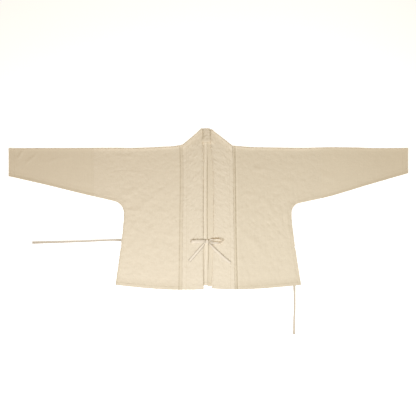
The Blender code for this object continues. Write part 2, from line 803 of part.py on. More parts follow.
FRONT_TIE_RIGHT = (
    Stop(ROOT_X_RIGHT, ROOT_Y_RIGHT, 0.0030, 90, 0, 0.008),
    Stop(-0.0150, -0.1277, 0.0036, 90, 0, 0.006),
    Stop(KNOT_LEFT, KNOT_Y + SLOT, LOW, 90, 0, KNOT_TAPE),
    Stop(KNOT_RIGHT, KNOT_Y + SLOT, LOW, 90, 0, KNOT_TAPE),
    Stop(0.0060, -0.1246, 0.0048, 95, 6, 0.005),
    Stop(0.0130, -0.1222, 0.0070, 95, 50, 0.008),
    Stop(0.0240, -0.1208, 0.0096, 90, 75, TAPE_WIDTH),
    Stop(0.0350, -0.1206, 0.0095, 84, 75, TAPE_WIDTH),
    Stop(0.0470, -0.1226, 0.0095, 60, 74, TAPE_WIDTH),
    Stop(0.0540, -0.1282, 0.0095, 0, 72, TAPE_WIDTH),
    Stop(0.0470, -0.1345, 0.0095, -65, 74, TAPE_WIDTH),
    Stop(0.0330, -0.1362, 0.0095, -90, 73, TAPE_WIDTH),
    Stop(0.0240, -0.1364, 0.0094, -90, 70, TAPE_WIDTH),
    Stop(0.0160, -0.1362, 0.0070, -90, 46, 0.007),
    Stop(0.0090, -0.1352, 0.0048, -90, 4, 0.005),
    Stop(KNOT_RIGHT, KNOT_Y - SLOT, LOW, -90, 0, KNOT_TAPE),
    Stop(KNOT_LEFT, KNOT_Y - SLOT, LOW, -90, 0, KNOT_TAPE),
    Stop(-0.0150, -0.1375, 0.0044, -60, 0, 0.006),
    Stop(-0.0240, -0.1480, 0.0051, -42, 0, 0.009),
    Stop(-0.0420, -0.1690, ON_BAND, -40, 0, 0.011),
    Stop(-0.0600, -0.1900, ON_BAND, -40, 0, 0.011),
    Stop(-0.0756, -0.2085, ON_BAND, -40, 0, 0.011))

FRONT_TIE_LEFT = (
    Stop(ROOT_X_LEFT, ROOT_Y_LEFT, 0.0031, 90, 0, 0.006),
    Stop(0.0130, -0.1296, 0.0050, 90, 0, 0.0045),
    Stop(0.0060, -0.1289, HIGH, 90, 0, 0.0047),
    Stop(KNOT_RIGHT, KNOT_Y + SLOT, HIGH, 90, 0, KNOT_TAPE),
    Stop(KNOT_LEFT, KNOT_Y + SLOT, HIGH, 90, 0, KNOT_TAPE),
    Stop(-0.0170, -0.1265, 0.0072, 90, 8, 0.007),
    Stop(-0.0300, -0.1260, 0.0090, 90, 12, TAPE_WIDTH),
    Stop(-0.0500, -0.1262, 0.0095, 90, 12, TAPE_WIDTH),
    Stop(-0.0630, -0.1272, 0.0091, 90, 10, TAPE_WIDTH),
    Stop(-0.0680, -0.1282, 0.0083, 90, 8, TAPE_WIDTH),
    Stop(-0.0690, -0.1290, 0.0070, 90, 6, TAPE_WIDTH),
    Stop(-0.0676, -0.1298, 0.0058, 90, 4, TAPE_WIDTH),
    Stop(-0.0630, -0.1308, 0.0052, 90, 2, TAPE_WIDTH),
    Stop(-0.0500, -0.1316, ON_BAND, 90, 0, TAPE_WIDTH),
    Stop(-0.0300, -0.1322, 0.0053, 90, 0, 0.009),
    Stop(-0.0190, -0.1328, 0.0060, 90, 0, 0.007),
    Stop(KNOT_LEFT, KNOT_Y - SLOT, HIGH, 90, 0, KNOT_TAPE),
    Stop(KNOT_RIGHT, KNOT_Y - SLOT, HIGH, 90, 0, KNOT_TAPE),
    Stop(0.0050, -0.1385, 0.0065, 62, 0, 0.006),
    Stop(0.0130, -0.1475, 0.0058, 47, 0, 0.008),
    Stop(0.0250, -0.1595, 0.0051, 46, 0, TAPE_WIDTH),
    Stop(0.0450, -0.1790, ON_BAND, 46, 0, 0.011),
    Stop(0.0670, -0.1985, ON_BAND, 49, 0, 0.011),
    Stop(0.0884, -0.2162, ON_BAND, 50, 0, 0.011))

TAPE_PIECE = 0.009


def smooth_stops(stops):
    """Stops along one smooth curve through the given ones, about TAPE_PIECE apart."""
    places = [0.0]
    for a, b in zip(stops, stops[1:]):
        places.append(places[-1] + (Vector(b[:3]) - Vector(a[:3])).length)
    columns = [tuple(zip(places, (stop[c] for stop in stops))) for c in range(len(Stop._fields))]
    fine = []
    for a, b in zip(places, places[1:]):
        pieces = max(1, round((b - a) / TAPE_PIECE))
        fine += [mix(a, b, k / pieces) for k in range(pieces)]
    fine.append(places[-1])
    return [Stop(*(smooth_value(column, at) for column in columns)) for at in fine]


def make_tape(name, stops):
    """A flat tape swept along its stops."""
    stops = smooth_stops(stops)
    line = [Vector(stop[:3]) for stop in stops]
    mesh = bmesh.new()
    rings = []
    for k, stop in enumerate(stops):
        along = (line[min(k + 1, len(line) - 1)] - line[max(k - 1, 0)]).normalized()
        heading = math.radians(stop.heading)
        lean = math.radians(stop.lean)
        across = Vector((math.cos(heading) * math.cos(lean),
                         math.sin(heading) * math.cos(lean), math.sin(lean)))
        across = (across - along * across.dot(along)).normalized()
        up = along.cross(across)
        ring = []
        for side, face in TAPE_CORNERS:
            corner = line[k] + across * side * stop.width / 2 + up * face * TAPE / 2
            ring.append(mesh.verts.new(corner))
        rings.append(ring)
    for a, b in zip(rings, rings[1:]):
        for n in range(4):
            m = (n + 1) % 4
            mesh.faces.new((a[n], a[m], b[m], b[n]))
    mesh.faces.new(rings[0][::-1])
    mesh.faces.new(rings[-1])
    bmesh.ops.recalc_face_normals(mesh, faces=mesh.faces)
    return finish_object(name, mesh, TAPE_FINISH)


KNOT_Z = (LOW + HIGH) / 2
KNOT_RADIUS = 0.0025
KNOT_STRAIGHT = 0.0050
RING_HALF = 0.00405
HALF_TURN_PIECES = 4

# The four corners of a tape's cross-section: the side of its width, and its face
TAPE_CORNERS = ((1, 1), (-1, 1), (-1, -1), (1, -1))


def make_knot():
    """The turn of tape round the middle of the bow: a flattened ring along X."""
    mesh = bmesh.new()
    rings = []
    for end in (1, -1):
        for k in range(HALF_TURN_PIECES + 1):
            angle = -math.pi / 2 + math.pi * k / HALF_TURN_PIECES
            ray = Vector((0.0, math.cos(angle), math.sin(angle))) * end
            centre = Vector((KNOT_X, KNOT_Y + end * KNOT_STRAIGHT, KNOT_Z))
            ring = []
            for side, face in TAPE_CORNERS:
                along = Vector((side * RING_HALF, 0.0, 0.0))
                ring.append(mesh.verts.new(centre + along + ray * (KNOT_RADIUS + face * TAPE / 2)))
            rings.append(ring)
    for a, b in zip(rings, rings[1:] + rings[:1]):
        for n in range(4):
            m = (n + 1) % 4
            mesh.faces.new((a[n], a[m], b[m], b[n]))
    bmesh.ops.recalc_face_normals(mesh, faces=mesh.faces)
    return finish_object("bow_knot", mesh, TAPE_FINISH)


def clear_scene():
    """Remove the objects that are there."""
    for old in list(bpy.data.objects):
        bpy.data.objects.remove(old, do_unlink=True)


def main():
    """Make every piece of the jacket."""
    clear_scene()
    for half in HALVES:
        make_body(half)
        make_sleeve(half)
    make_collar()
    make_tape("side_tie_right", SIDE_TIE_RIGHT)
    make_tape("side_tie_left", SIDE_TIE_LEFT)
    make_tape("front_tie_right", FRONT_TIE_RIGHT)
    make_tape("front_tie_left", FRONT_TIE_LEFT)
    make_knot()


main()
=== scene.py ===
# %% [markdown]
# This script dresses a jacket that lies flat, front up, on a pale floor. It is sewn from one plain
# woven oatmeal cloth: two body panels folded over the shoulders, two sleeve pieces, a broad band
# round the neck and down both fronts, and four narrow tapes. The frame already holds each sewn
# piece as a plain wall at its real size. What is left is the cloth itself: thin, a little uneven,
# with hems, seams, stitches and a weave.

# %% Load the frame
import math
from collections import namedtuple

import bpy
import numpy as np
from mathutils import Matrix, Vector
from mathutils.bvhtree import BVHTree


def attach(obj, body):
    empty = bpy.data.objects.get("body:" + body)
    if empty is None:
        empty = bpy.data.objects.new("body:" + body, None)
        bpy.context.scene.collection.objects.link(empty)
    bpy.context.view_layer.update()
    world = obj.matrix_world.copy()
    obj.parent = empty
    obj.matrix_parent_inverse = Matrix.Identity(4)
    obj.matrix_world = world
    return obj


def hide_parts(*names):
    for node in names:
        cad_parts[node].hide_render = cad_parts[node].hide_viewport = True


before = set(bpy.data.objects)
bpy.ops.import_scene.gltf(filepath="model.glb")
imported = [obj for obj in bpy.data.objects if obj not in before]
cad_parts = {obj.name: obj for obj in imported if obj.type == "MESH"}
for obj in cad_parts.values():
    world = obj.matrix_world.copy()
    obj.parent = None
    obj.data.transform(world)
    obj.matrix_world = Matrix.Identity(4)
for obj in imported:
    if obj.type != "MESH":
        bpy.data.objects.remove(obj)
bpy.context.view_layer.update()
print("frame nodes:", ", ".join(sorted(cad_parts)))

# %% [markdown]
# The photograph looks straight down. A camera could be orthographic for this, but a long lens from
# far above gives the same picture, and some depth from other angles. Its height and its field come
# from the length of floor that one pixel of the photograph covers.

# %% Camera straight above
PHOTO_PIXELS = 416
METRES_PER_PIXEL = 0.004
PHOTO_MIDDLE = (-0.0016, 0.0038)
CAMERA_HEIGHT = 6.0
SENSOR_MM = 36.0


def in_scene(name, data):
    """A new object with this data, linked to the scene."""
    made = bpy.data.objects.new(name, data)
    bpy.context.scene.collection.objects.link(made)
    return made


camera_data = bpy.data.cameras.new("camera_above")
camera_data.sensor_width = SENSOR_MM
camera_data.lens = SENSOR_MM * CAMERA_HEIGHT / (PHOTO_PIXELS * METRES_PER_PIXEL)
camera = in_scene("camera_above", camera_data)
camera.location = (*PHOTO_MIDDLE, CAMERA_HEIGHT)
bpy.context.scene.camera = camera
print("camera lens:", round(camera_data.lens, 1), "mm")

# %% [markdown]
# Everything soft here follows short tables of places, read as one smooth line. A Bezier curve or a
# spline modifier would do it too, but a small function over a numpy array is quicker for tens of
# thousands of points, and serves outlines, heights and the routes of tapes alike.

# %% Smooth lines and soft steps
UP = np.array((0.0, 0.0, 1.0))
FAR = 1.0
STEP_WIDTH = 0.0006


def bounded(share):
    """A share kept between 0 and 1."""
    return np.clip(share, 0.0, 1.0)


def smooth_line(rows, at):
    """Values, at these places, of a smooth line through (place, value) rows."""
    places, values = np.array(rows, float).T
    before = np.r_[0, np.arange(len(places) - 1)]
    after = np.r_[np.arange(1, len(places)), len(places) - 1]
    slopes = (values[after] - values[before]) / (places[after] - places[before])
    at = np.clip(at, places[0], places[-1])
    here = np.clip(np.searchsorted(places, at, side="right") - 1, 0, len(places) - 2)
    there = here + 1
    span = places[there] - places[here]
    share = (at - places[here]) / span
    start = (1 + 2 * share) * (1 - share) ** 2 * values[here]
    start = start + share * (1 - share) ** 2 * span * slopes[here]
    end = share * share * (3 - 2 * share) * values[there]
    end = end - share * share * (1 - share) * span * slopes[there]
    return start + end


def fade(distance, full, none):
    """1 up to the distance full, 0 from the distance none on, and smooth between."""
    share = bounded((distance - full) / (none - full))
    return 1.0 - share * share * (3.0 - 2.0 * share)


def step(distance, at, width=STEP_WIDTH):
    """1 before a place, and 0 past it, over a short width."""
    return fade(distance, at - width, at + width)


def beside(place, middle, full, none):
    """1 near a middle place and 0 away from it, on both sides."""
    return fade(np.abs(place - middle), full, none)


def mix(start, end, share):
    """The point or number at this share of the way from start to end."""
    return start + (end - start) * share


def placed(length, near, far, between):
    """Distances along each length: fixed steps at both ends, and even steps between."""
    length = np.atleast_1d(length).astype(float)[:, None]
    shares = np.linspace(0.0, 1.0, between + 1)[1:-1]
    start = np.broadcast_to(near, (len(length), len(near)))
    middle = near[-1] + (length - near[-1] - far[-1]) * shares
    return np.hstack([start, middle, length - np.array(far[::-1])])


def unit(rows):
    """Each row as a direction of length 1."""
    return rows / np.linalg.norm(rows, axis=-1, keepdims=True)


def stacked(*parts):
    """Arrays and numbers side by side, along a new last axis."""
    return np.stack(np.broadcast_arrays(*parts), -1)


def travelled(points):
    """How far each point lies along a chain of points."""
    return np.r_[0.0, np.cumsum(np.linalg.norm(np.diff(points, axis=0), axis=1))]


print("a soft step from 0 to 10 mm, at 5 mm:", float(fade(0.005, 0.0, 0.010)))

# %% [markdown]
# The tapes are narrow tubes of the same cloth, pressed flat and stitched along one edge. A curve
# with a bevel gives a round cord, and a flat one twists as it likes at bends. These lie partly on
# their edge, so each tape is swept through stops that also say which way its width points. The
# side tapes lie loose: one comes out of the right side seam, and one out of the left seam between
# the layers, and shows below the hem. A stop holds x, y, z, heading, lean and width.

# %% Routes of the side tapes
TAPE = 0.0012
TAPE_WIDTH = 0.010
TAPE_STEP = 0.0025
UNDER_TAPE = 0.0001


def side_tie(heading, rows):
    """Stops from rows of x, y, lean and height. Without a height, the tape lies on the floor."""
    stops = []
    for x, y, lean, *height in rows:
        tip = math.radians(lean)
        resting = (TAPE_WIDTH * math.sin(tip) + TAPE * math.cos(tip)) / 2 + UNDER_TAPE
        stops.append((x, y, *(height or [resting]), heading, lean, TAPE_WIDTH))
    return stops


SIDE_TIE_RIGHT = side_tie(90, (
    (-0.34775, -0.1246, 0, 0.0020), (-0.3560, -0.1247, 14), (-0.3680, -0.1248, 42),
    (-0.3836, -0.1250, 54), (-0.4300, -0.1270, 56), (-0.5116, -0.1302, 52),
    (-0.6076, -0.1330, 44), (-0.6700, -0.1343, 26), (-0.7044, -0.1350, 8)))
SIDE_TIE_LEFT = side_tie(0, (
    (0.3366, -0.1330, 0, 0.0023), (0.3374, -0.1700, 0, 0.0023), (0.3394, -0.2300, 0, 0.0023),
    (0.3424, -0.2900, 0, 0.0023), (0.3432, -0.3085, 0, 0.0023), (0.3436, -0.3170, 20),
    (0.3440, -0.3270, 36), (0.3442, -0.3500, 44), (0.3444, -0.4000, 48),
    (0.3428, -0.4400, 48), (0.3424, -0.4800, 34), (0.3424, -0.5020, 4)))

# %% [markdown]
# The two front tapes are tied in a bow over the opening. Each one passes twice through the knot:
# on its way to its loop, and again on its way to its free end. The stops keep them one above the
# other there, and let the loops stand up a little, as stitched tapes do.

# %% Routes of the bow
FRONT_TIE_RIGHT = (
    (-0.02036, -0.1277, 0.0030, 90, 0, 0.008), (-0.0150, -0.1277, 0.0036, 90, 0, 0.006),
    (-0.0101, -0.12775, 0.0048, 90, 0, 0.005), (-0.0011, -0.12775, 0.0048, 90, 0, 0.005),
    (0.0060, -0.1246, 0.0048, 95, 6, 0.005), (0.0130, -0.1222, 0.0070, 95, 50, 0.008),
    (0.0240, -0.1208, 0.0096, 90, 75, 0.010), (0.0350, -0.1206, 0.0095, 84, 75, 0.010),
    (0.0470, -0.1226, 0.0095, 60, 74, 0.010), (0.0540, -0.1282, 0.0095, 0, 72, 0.010),
    (0.0470, -0.1345, 0.0095, -65, 52, 0.010), (0.0330, -0.1362, 0.0095, -90, 14, 0.010),
    (0.0240, -0.1364, 0.0094, -90, 8, 0.010), (0.0160, -0.1362, 0.0070, -90, 6, 0.007),
    (0.0090, -0.1352, 0.0048, -90, 4, 0.005), (-0.0011, -0.13325, 0.0048, -90, 0, 0.005),
    (-0.0101, -0.13325, 0.0048, -90, 0, 0.005), (-0.0150, -0.1375, 0.0044, -60, 0, 0.006),
    (-0.0240, -0.1480, 0.0051, -42, 0, 0.010), (-0.0420, -0.1690, 0.0050, -40, 0, 0.012),
    (-0.0600, -0.1900, 0.0050, -40, 0, 0.012), (-0.0756, -0.2085, 0.0050, -40, 0, 0.012))
FRONT_TIE_LEFT = (
    (0.01931, -0.1295, 0.0031, 90, 0, 0.006), (0.0130, -0.1296, 0.0050, 90, 0, 0.0045),
    (0.0060, -0.1289, 0.0063, 90, 0, 0.0047), (-0.0011, -0.12775, 0.0063, 90, 0, 0.005),
    (-0.0101, -0.12775, 0.0063, 90, 0, 0.005), (-0.0170, -0.1265, 0.0072, 90, -4, 0.007),
    (-0.0300, -0.1260, 0.0090, 90, -14, 0.010), (-0.0500, -0.1262, 0.0095, 90, -14, 0.010),
    (-0.0630, -0.1272, 0.0091, 90, -10, 0.010), (-0.0680, -0.1282, 0.0083, 90, -4, 0.010),
    (-0.0690, -0.1290, 0.0070, 90, 0, 0.010), (-0.0676, -0.1298, 0.0058, 90, 2, 0.010),
    (-0.0630, -0.1308, 0.0052, 90, 2, 0.010), (-0.0500, -0.1316, 0.0050, 90, 0, 0.010),
    (-0.0300, -0.1322, 0.0053, 90, 0, 0.009), (-0.0190, -0.1328, 0.0060, 90, 0, 0.007),
    (-0.0101, -0.13325, 0.0063, 90, 0, 0.005), (-0.0011, -0.13325, 0.0063, 90, 0, 0.005),
    (0.0050, -0.1385, 0.0065, 62, 0, 0.006), (0.0130, -0.1475, 0.0058, 47, 0, 0.008),
    (0.0250, -0.1595, 0.0051, 46, 0, 0.010), (0.0450, -0.1790, 0.0050, 46, 0, 0.011),
    (0.0670, -0.1985, 0.0050, 49, 0, 0.011), (0.0884, -0.2162, 0.0050, 50, 0, 0.011))
TapePlan = namedtuple("TapePlan", "stops length")
TAPES = {
    "side_tie_right": TapePlan(SIDE_TIE_RIGHT, 0.357),
    "side_tie_left": TapePlan(SIDE_TIE_LEFT, 0.370),
    "front_tie_right": TapePlan(FRONT_TIE_RIGHT, 0.246),
    "front_tie_left": TapePlan(FRONT_TIE_LEFT, 0.281)}
print("stops:", {name: len(plan.stops) for name, plan in TAPES.items()})

# %% [markdown]
# A sweep needs, at each step, the middle of the tape, the direction across it and the direction
# out of its face. With those three the rounded section is drawn as a ring of points, and the same
# three later place the stitches. Every piece of cloth also carries its place on a flat map of the
# cloth, and marks that its material reads: distances from edges, which also place painted shade,
# and how much a painted highlight lightens it.

# %% Sweep a tape
Route = namedtuple("Route", "middle across face width")
SECTION_POINTS = 16
SECTION_POWER = 0.5
# Painted shade along the edges of the bow's tails and the left loop, and a painted highlight beside
# it
TAIL_FROM = 0.62
TAIL_SHADE = 1.7
TAIL_HIGHLIGHT = 2.0
LOOP_LIGHT = 0.0035
LOOP_SHADE = 0.0024
TAPE_HIGHLIGHT = 0.7
TAPE_HIGHLIGHT_FROM = 0.004
# The edges mark holds distances from three edges, which the looks know as X, Y and Z. The centre
# mark holds a distance from the centre back seam, and on the collar the distance that places its
# painted shadow. The last mark says how much a painted highlight lightens the colour.
MARKS = (("edges", "FLOAT_VECTOR", "vector", [0, 1, 2]), ("centre", "FLOAT", "value", [3]),
         ("rubbed", "FLOAT", "value", [4]))
MARK_COLUMNS = sum(len(columns) for *_, columns in MARKS)


def tape_route(stops):
    """Even steps along the smooth route of a tape."""
    table = np.array(stops, float)
    places = travelled(table[:, :3])
    at = np.linspace(0.0, places[-1], int(places[-1] / TAPE_STEP) + 1)
    columns = [smooth_line(stacked(places, column), at) for column in table.T]
    middle = stacked(*columns[:3])
    heading, lean = np.radians(columns[3]), np.radians(columns[4])
    along = unit(np.gradient(middle, axis=0))
    across = stacked(np.cos(heading) * np.cos(lean), np.sin(heading) * np.cos(lean), np.sin(lean))
    across = unit(across - along * (across * along).sum(1, keepdims=True))
    return Route(middle, across, np.cross(along, across), columns[5])


def tube_faces(rows, columns, joined=False):
    """Faces of a tube of rings of points. A joined tube meets itself again."""
    index = np.arange(rows * columns).reshape(rows, columns)
    index = np.concatenate([index, index[:1]]) if joined else index
    turned = np.roll(index, -1, axis=1)
    return stacked(index[:-1], turned[:-1], turned[1:], index[1:]).reshape(-1, 4)


def cloth_object(name, points, faces, flat_map, marks):
    """A smooth-shaded object whose points carry a place on the cloth's map, and five marks."""
    mesh = bpy.data.meshes.new(name)
    mesh.from_pydata(np.reshape(points, (-1, 3)).tolist(), [],
                     [list(map(int, face)) for face in faces])
    mesh.shade_smooth()
    mesh.update()
    corners = np.zeros(len(mesh.loops), np.int32)
    mesh.loops.foreach_get("vertex_index", corners)
    places = np.reshape(flat_map, (-1, 2)).astype(np.float32)[corners]
    mesh.uv_layers.new(name="cloth_map").data.foreach_set("uv", places.ravel())
    marks = np.reshape(marks, (-1, MARK_COLUMNS)).astype(np.float32)
    for mark, kind, field, columns in MARKS:
        layer = mesh.attributes.new(mark, kind, "POINT")
        layer.data.foreach_set(field, marks[:, columns].ravel())
    return in_scene(name, mesh)


def show(*pieces):
    """Print the size of some pieces and how many faces they have."""
    for made in pieces:
        size = " x ".join(str(round(length * 1000, 1)) for length in made.dimensions)
        print(made.name, "is", size, "mm, with", len(made.data.polygons), "faces")


def tape_marks(name, from_edge, from_seam, along):
    """Marks of a tape: painted shade along the bow's tails and left loop, and a painted highlight
    beside it.
    """
    tail = along > TAIL_FROM * along.max()
    shaded, lit_distance = FAR, 0.0
    if name == "front_tie_right":
        shaded = np.where(tail, TAIL_SHADE * from_edge, FAR)
        lit_distance = np.where(tail, TAIL_HIGHLIGHT * from_edge, 0.0)
    elif name == "front_tie_left":
        shaded = np.where(tail, from_seam, np.maximum(from_seam - LOOP_LIGHT, 0.0) + LOOP_SHADE)
        lit_distance = from_seam
    rubbed = TAPE_HIGHLIGHT * bounded(lit_distance / TAPE_HIGHLIGHT_FROM - 1.0)
    return stacked(from_edge, np.minimum(along, along.max() - along), shaded, FAR, rubbed)


def sweep_tape(name, route):
    """A flat tape with soft edges along its route, closed at both ends."""
    angle = np.linspace(0.0, 2 * math.pi, SECTION_POINTS, endpoint=False)
    side, rise = (np.sign(wave) * np.abs(wave) ** SECTION_POWER
                  for wave in (np.cos(angle), np.sin(angle)))
    half_width = route.width[:, None] / 2
    rings = route.middle[:, None] + route.across[:, None] * (side * half_width)[..., None]
    rings = rings + route.face[:, None] * (rise * TAPE / 2)[:, None]
    last = (len(rings) - 1) * SECTION_POINTS + np.arange(SECTION_POINTS)
    faces = [*tube_faces(*rings.shape[:2]), np.arange(SECTION_POINTS)[::-1], last]
    along = travelled(route.middle)[:, None] + 0.0 * side
    marks = tape_marks(name, (1.0 - np.abs(side)) * half_width, (1.0 - side) * half_width, along)
    return cloth_object(name + "_tape", rings, faces, stacked(side * half_width, along), marks)


routes = {name: tape_route(plan.stops) for name, plan in TAPES.items()}
tapes = {name: sweep_tape(name, route) for name, route in routes.items()}
show(*tapes.values())

# %% [markdown]
# The jacket's two halves aren't quite alike, since a laid garment never is, so each has its own
# short table. All of it is drawn on a flat plan, where out is the distance from the middle towards
# that half's cuff. Another way is to model one half and mirror it, but then every uneven edge of
# the photograph would have to be pulled into shape again by hand.

# %% Measures of the two halves
CLOTH = 0.0012
BAND = 0.0022
SEAM_GAP = 0.0001
CENTRE_SEAM_X = -0.0014
COLLAR_TOP = 0.3226
NECK_CENTRE = 0.2660
CUFF_OUT = 0.7980
HEM_SIDE = -0.3035
HEM_LEVEL_FROM = 0.095
SIDE_FLARE_FROM = 0.018
SLIT_TOP = -0.150
SLIT_EASE = 0.016
SLOPE_STEP = 0.002

Half = namedtuple("Half", (
    "name", "sign", "sleeve_seam", "side_out", "armpit_radius", "flare", "hem_sag", "hem_lift",
    "back_sag", "collar_corner", "neck_corner", "shoulder", "underside", "strip", "band_outer",
    "band_inner"))
RIGHT = Half(
    name="right", sign=-1.0, sleeve_seam=0.4576, side_out=0.338, armpit_radius=0.050,
    flare=0.0332, hem_sag=0.0199, hem_lift=0.0022, back_sag=0.0020,
    collar_corner=(0.0262, 0.3226), neck_corner=(0.1027, 0.2557),
    shoulder=((0.1036, 0.2562), (0.1216, 0.2530), (0.1456, 0.2500), (0.1936, 0.2477),
              (0.2656, 0.2442), (0.3136, 0.2430), (0.3616, 0.2438), (0.5600, 0.2430),
              (CUFF_OUT, 0.2424)),
    underside=((0.338, 0.0222), (0.400, 0.0365), (0.4476, 0.0474), (0.5436, 0.0704),
               (0.6396, 0.0942), (CUFF_OUT, 0.1306)),
    strip=((-0.3234, 0.0122), (0.250, 0.0114)),
    band_outer=((-0.3234, 0.1056), (-0.100, 0.1030), (0.150, 0.1006), (0.256, 0.1026),
                (0.330, 0.1030)),
    band_inner=((-0.3234, 0.0192), (-0.100, 0.0208), (0.200, 0.0215), (0.330, 0.0245)))
LEFT = Half(
    name="left", sign=1.0, sleeve_seam=0.4504, side_out=0.333, armpit_radius=0.039,
    flare=0.0375, hem_sag=0.0182, hem_lift=0.0050, back_sag=0.0050,
    collar_corner=(0.0130, 0.3188), neck_corner=(0.0966, 0.2522),
    shoulder=((0.0970, 0.2526), (0.1184, 0.2508), (0.1664, 0.2474), (0.2384, 0.2456),
              (0.3824, 0.2439), (0.4784, 0.2462), (0.5744, 0.2455), (0.6704, 0.2428),
              (CUFF_OUT, 0.2434)),
    underside=((0.3330, 0.0165), (0.3844, 0.0274), (0.4804, 0.0490), (0.5504, 0.0694),
               (0.6384, 0.0962), (CUFF_OUT, 0.1426)),
    strip=((-0.3234, 0.0094), (-0.080, 0.0078), (0.250, 0.0076)),
    band_outer=((-0.3234, 0.1060), (-0.100, 0.1020), (0.200, 0.0982), (0.330, 0.0968)),
    band_inner=((-0.3234, 0.0135), (-0.200, 0.0180), (-0.100, 0.0204), (0.100, 0.0204),
                (0.200, 0.0160), (0.250, 0.0105), (0.330, 0.0085)))
HALVES = (RIGHT, LEFT)
print("halves:", ", ".join(half.name for half in HALVES))

# %% The flat plan of one half
EDGE_PIECE = 0.010
ARC_PIECES = 14
FLARE_POWER = 1.2


def from_line(out, y, start, end):
    """The share of the way along a straight line, and the distance from the line."""
    along = np.subtract(end, start)
    share = ((out - start[0]) * along[0] + (y - start[1]) * along[1]) / (along ** 2).sum()
    near = bounded(share)
    return share, np.hypot(out - start[0] - along[0] * near, y - start[1] - along[1] * near)


class Plan:
    """The flat outline of one half, for whole arrays of places at once."""

    def __init__(self, half):
        self.half = half
        near, far = half.underside[:2]
        self.slope = (far[1] - near[1]) / (far[0] - near[0])
        length = math.hypot(1.0, self.slope)
        centre_out = half.side_out + half.armpit_radius
        line_y = near[1] + self.slope * (centre_out - near[0])
        self.armpit_y = line_y - half.armpit_radius * length
        self.centre = np.array((centre_out, self.armpit_y))
        self.arc_start = math.atan2(1.0, -self.slope)
        self.arc_out = centre_out - half.armpit_radius * self.slope / length
        under = self.under(np.arange(CUFF_OUT, self.arc_out, -EDGE_PIECE))[0]
        armpit = self.armpit(np.linspace(0.0, 1.0, ARC_PIECES))[0]
        side = self.side_seam(np.arange(self.armpit_y, HEM_SIDE - EDGE_PIECE, -EDGE_PIECE))[0]
        self.edge_line = np.concatenate([under, armpit, side[1:]])

    def points(self, out, y, z=0.0):
        """Places of the plan as points in the jacket's frame."""
        return stacked(self.half.sign * out, y, z)

    def side(self, y):
        """The side seam's distance out at the height y."""
        start = self.armpit_y - SIDE_FLARE_FROM
        share = np.maximum((start - y) / (start - HEM_SIDE), 0.0)
        return self.half.side_out + self.half.flare * share ** FLARE_POWER

    def side_seam(self, y):
        """Points of the side seam, with their outward directions."""
        lean = (self.side(y + SLOPE_STEP) - self.side(y - SLOPE_STEP)) / (2 * SLOPE_STEP)
        return stacked(self.side(y), y), unit(stacked(1.0, -lean))

    def shoulder(self, out):
        """The height of the fold along the shoulder and the top of the sleeve."""
        return smooth_line(self.half.shoulder, out)

    def under(self, out):
        """Points of the sleeve's underside seam, with their outward directions."""
        rows = self.half.underside
        straight = out < rows[1][0]
        y = np.where(straight, rows[0][1] + self.slope * (out - rows[0][0]), smooth_line(rows, out))
        lean = smooth_line(rows, out + SLOPE_STEP) - smooth_line(rows, out - SLOPE_STEP)
        lean = np.where(straight, self.slope, lean / (2 * SLOPE_STEP))
        return stacked(out, y), unit(stacked(lean, -1.0))

    def armpit(self, share):
        """Points of the armpit's arc, at shares of the way from the sleeve to the side."""
        angle = mix(self.arc_start, math.pi, share)
        ray = stacked(np.cos(angle), np.sin(angle))
        return self.centre + ray * self.half.armpit_radius, -ray

    def seam_distance(self, out, y):
        """How far places lie from the underside and side seam."""
        best = np.full(np.shape(out), FAR)
        for start, end in zip(self.edge_line, self.edge_line[1:]):
            best = np.minimum(best, from_line(out, y, start, end)[1])
        return best

    def hem(self, out):
        """The height of the front's hem."""
        corner = self.side(HEM_SIDE)
        share = bounded((corner - out) / (corner - HEM_LEVEL_FROM))
        inner = np.maximum(HEM_LEVEL_FROM - out, 0.0) / HEM_LEVEL_FROM
        sag = self.half.hem_sag * np.sin(math.pi / 2 * share)
        return HEM_SIDE - sag + self.half.hem_lift * inner * inner

    def back_hem(self, out):
        """The height of the back's hem."""
        share = bounded(out / self.side(HEM_SIDE))
        return HEM_SIDE - self.half.back_sag * (1.0 - share * share)

    def band_outer(self, y):
        """Where the collar band is sewn to the front."""
        return smooth_line(self.half.band_outer, y)

    def band_inner(self, y):
        """The collar band's free edge at the opening."""
        return smooth_line(self.half.band_inner, y)


PLANS = {half.name: Plan(half) for half in HALVES}
print("armpits at y", {name: round(float(plan.armpit_y), 4) for name, plan in PLANS.items()})

# %% [markdown]
# A cloth that was pressed and then laid down is never flat. It stands open at its folds, where the
# layers turn round, and along its seams, where the allowances lie inside. It has a few long soft
# creases where it was pulled, listed in a table, and small uneven places all over, which
# are smooth random heights. A cloth simulation would give creases too, but not these ones.

# %% Creases and uneven places
LATTICE = 96
NOISE_HEIGHT = 1.5
Crease = namedtuple("Crease", "out y to_out to_y rise reach")
CREASES = {
    "right": (
        Crease(0.394, 0.142, 0.340, 0.151, 0.0007, 0.007),
        Crease(0.362, 0.150, 0.250, 0.143, 0.0008, 0.007),
        Crease(0.380, 0.212, 0.270, 0.209, 0.0009, 0.012),
        Crease(0.766, 0.196, 0.736, 0.240, 0.0016, 0.010),
        Crease(0.736, 0.174, 0.680, 0.226, 0.0012, 0.010),
        Crease(0.650, 0.180, 0.600, 0.204, 0.0007, 0.012),
        Crease(0.330, 0.040, 0.270, 0.100, 0.0008, 0.020),
        Crease(0.300, -0.030, 0.220, 0.050, 0.0012, 0.026)),
    "left": (
        Crease(0.118, -0.064, 0.246, -0.212, 0.0018, 0.018),
        Crease(0.212, 0.050, 0.272, -0.036, 0.0016, 0.016),
        Crease(0.304, 0.024, 0.328, -0.124, 0.0018, 0.018),
        Crease(0.240, 0.156, 0.170, 0.158, 0.0015, 0.014),
        Crease(0.520, 0.110, 0.430, 0.150, 0.0012, 0.022))}
RIPPLE_PLACE = (0.246, -0.064)
RIPPLE_REACH = (0.050, 0.190)
RIPPLE_WIDE = 0.0064
RIPPLE_LONG = 0.060
RIPPLE_RISE = 0.00065
RIPPLE_SEED = 21
Lump = namedtuple("Lump", "wide high rise on_sleeve")
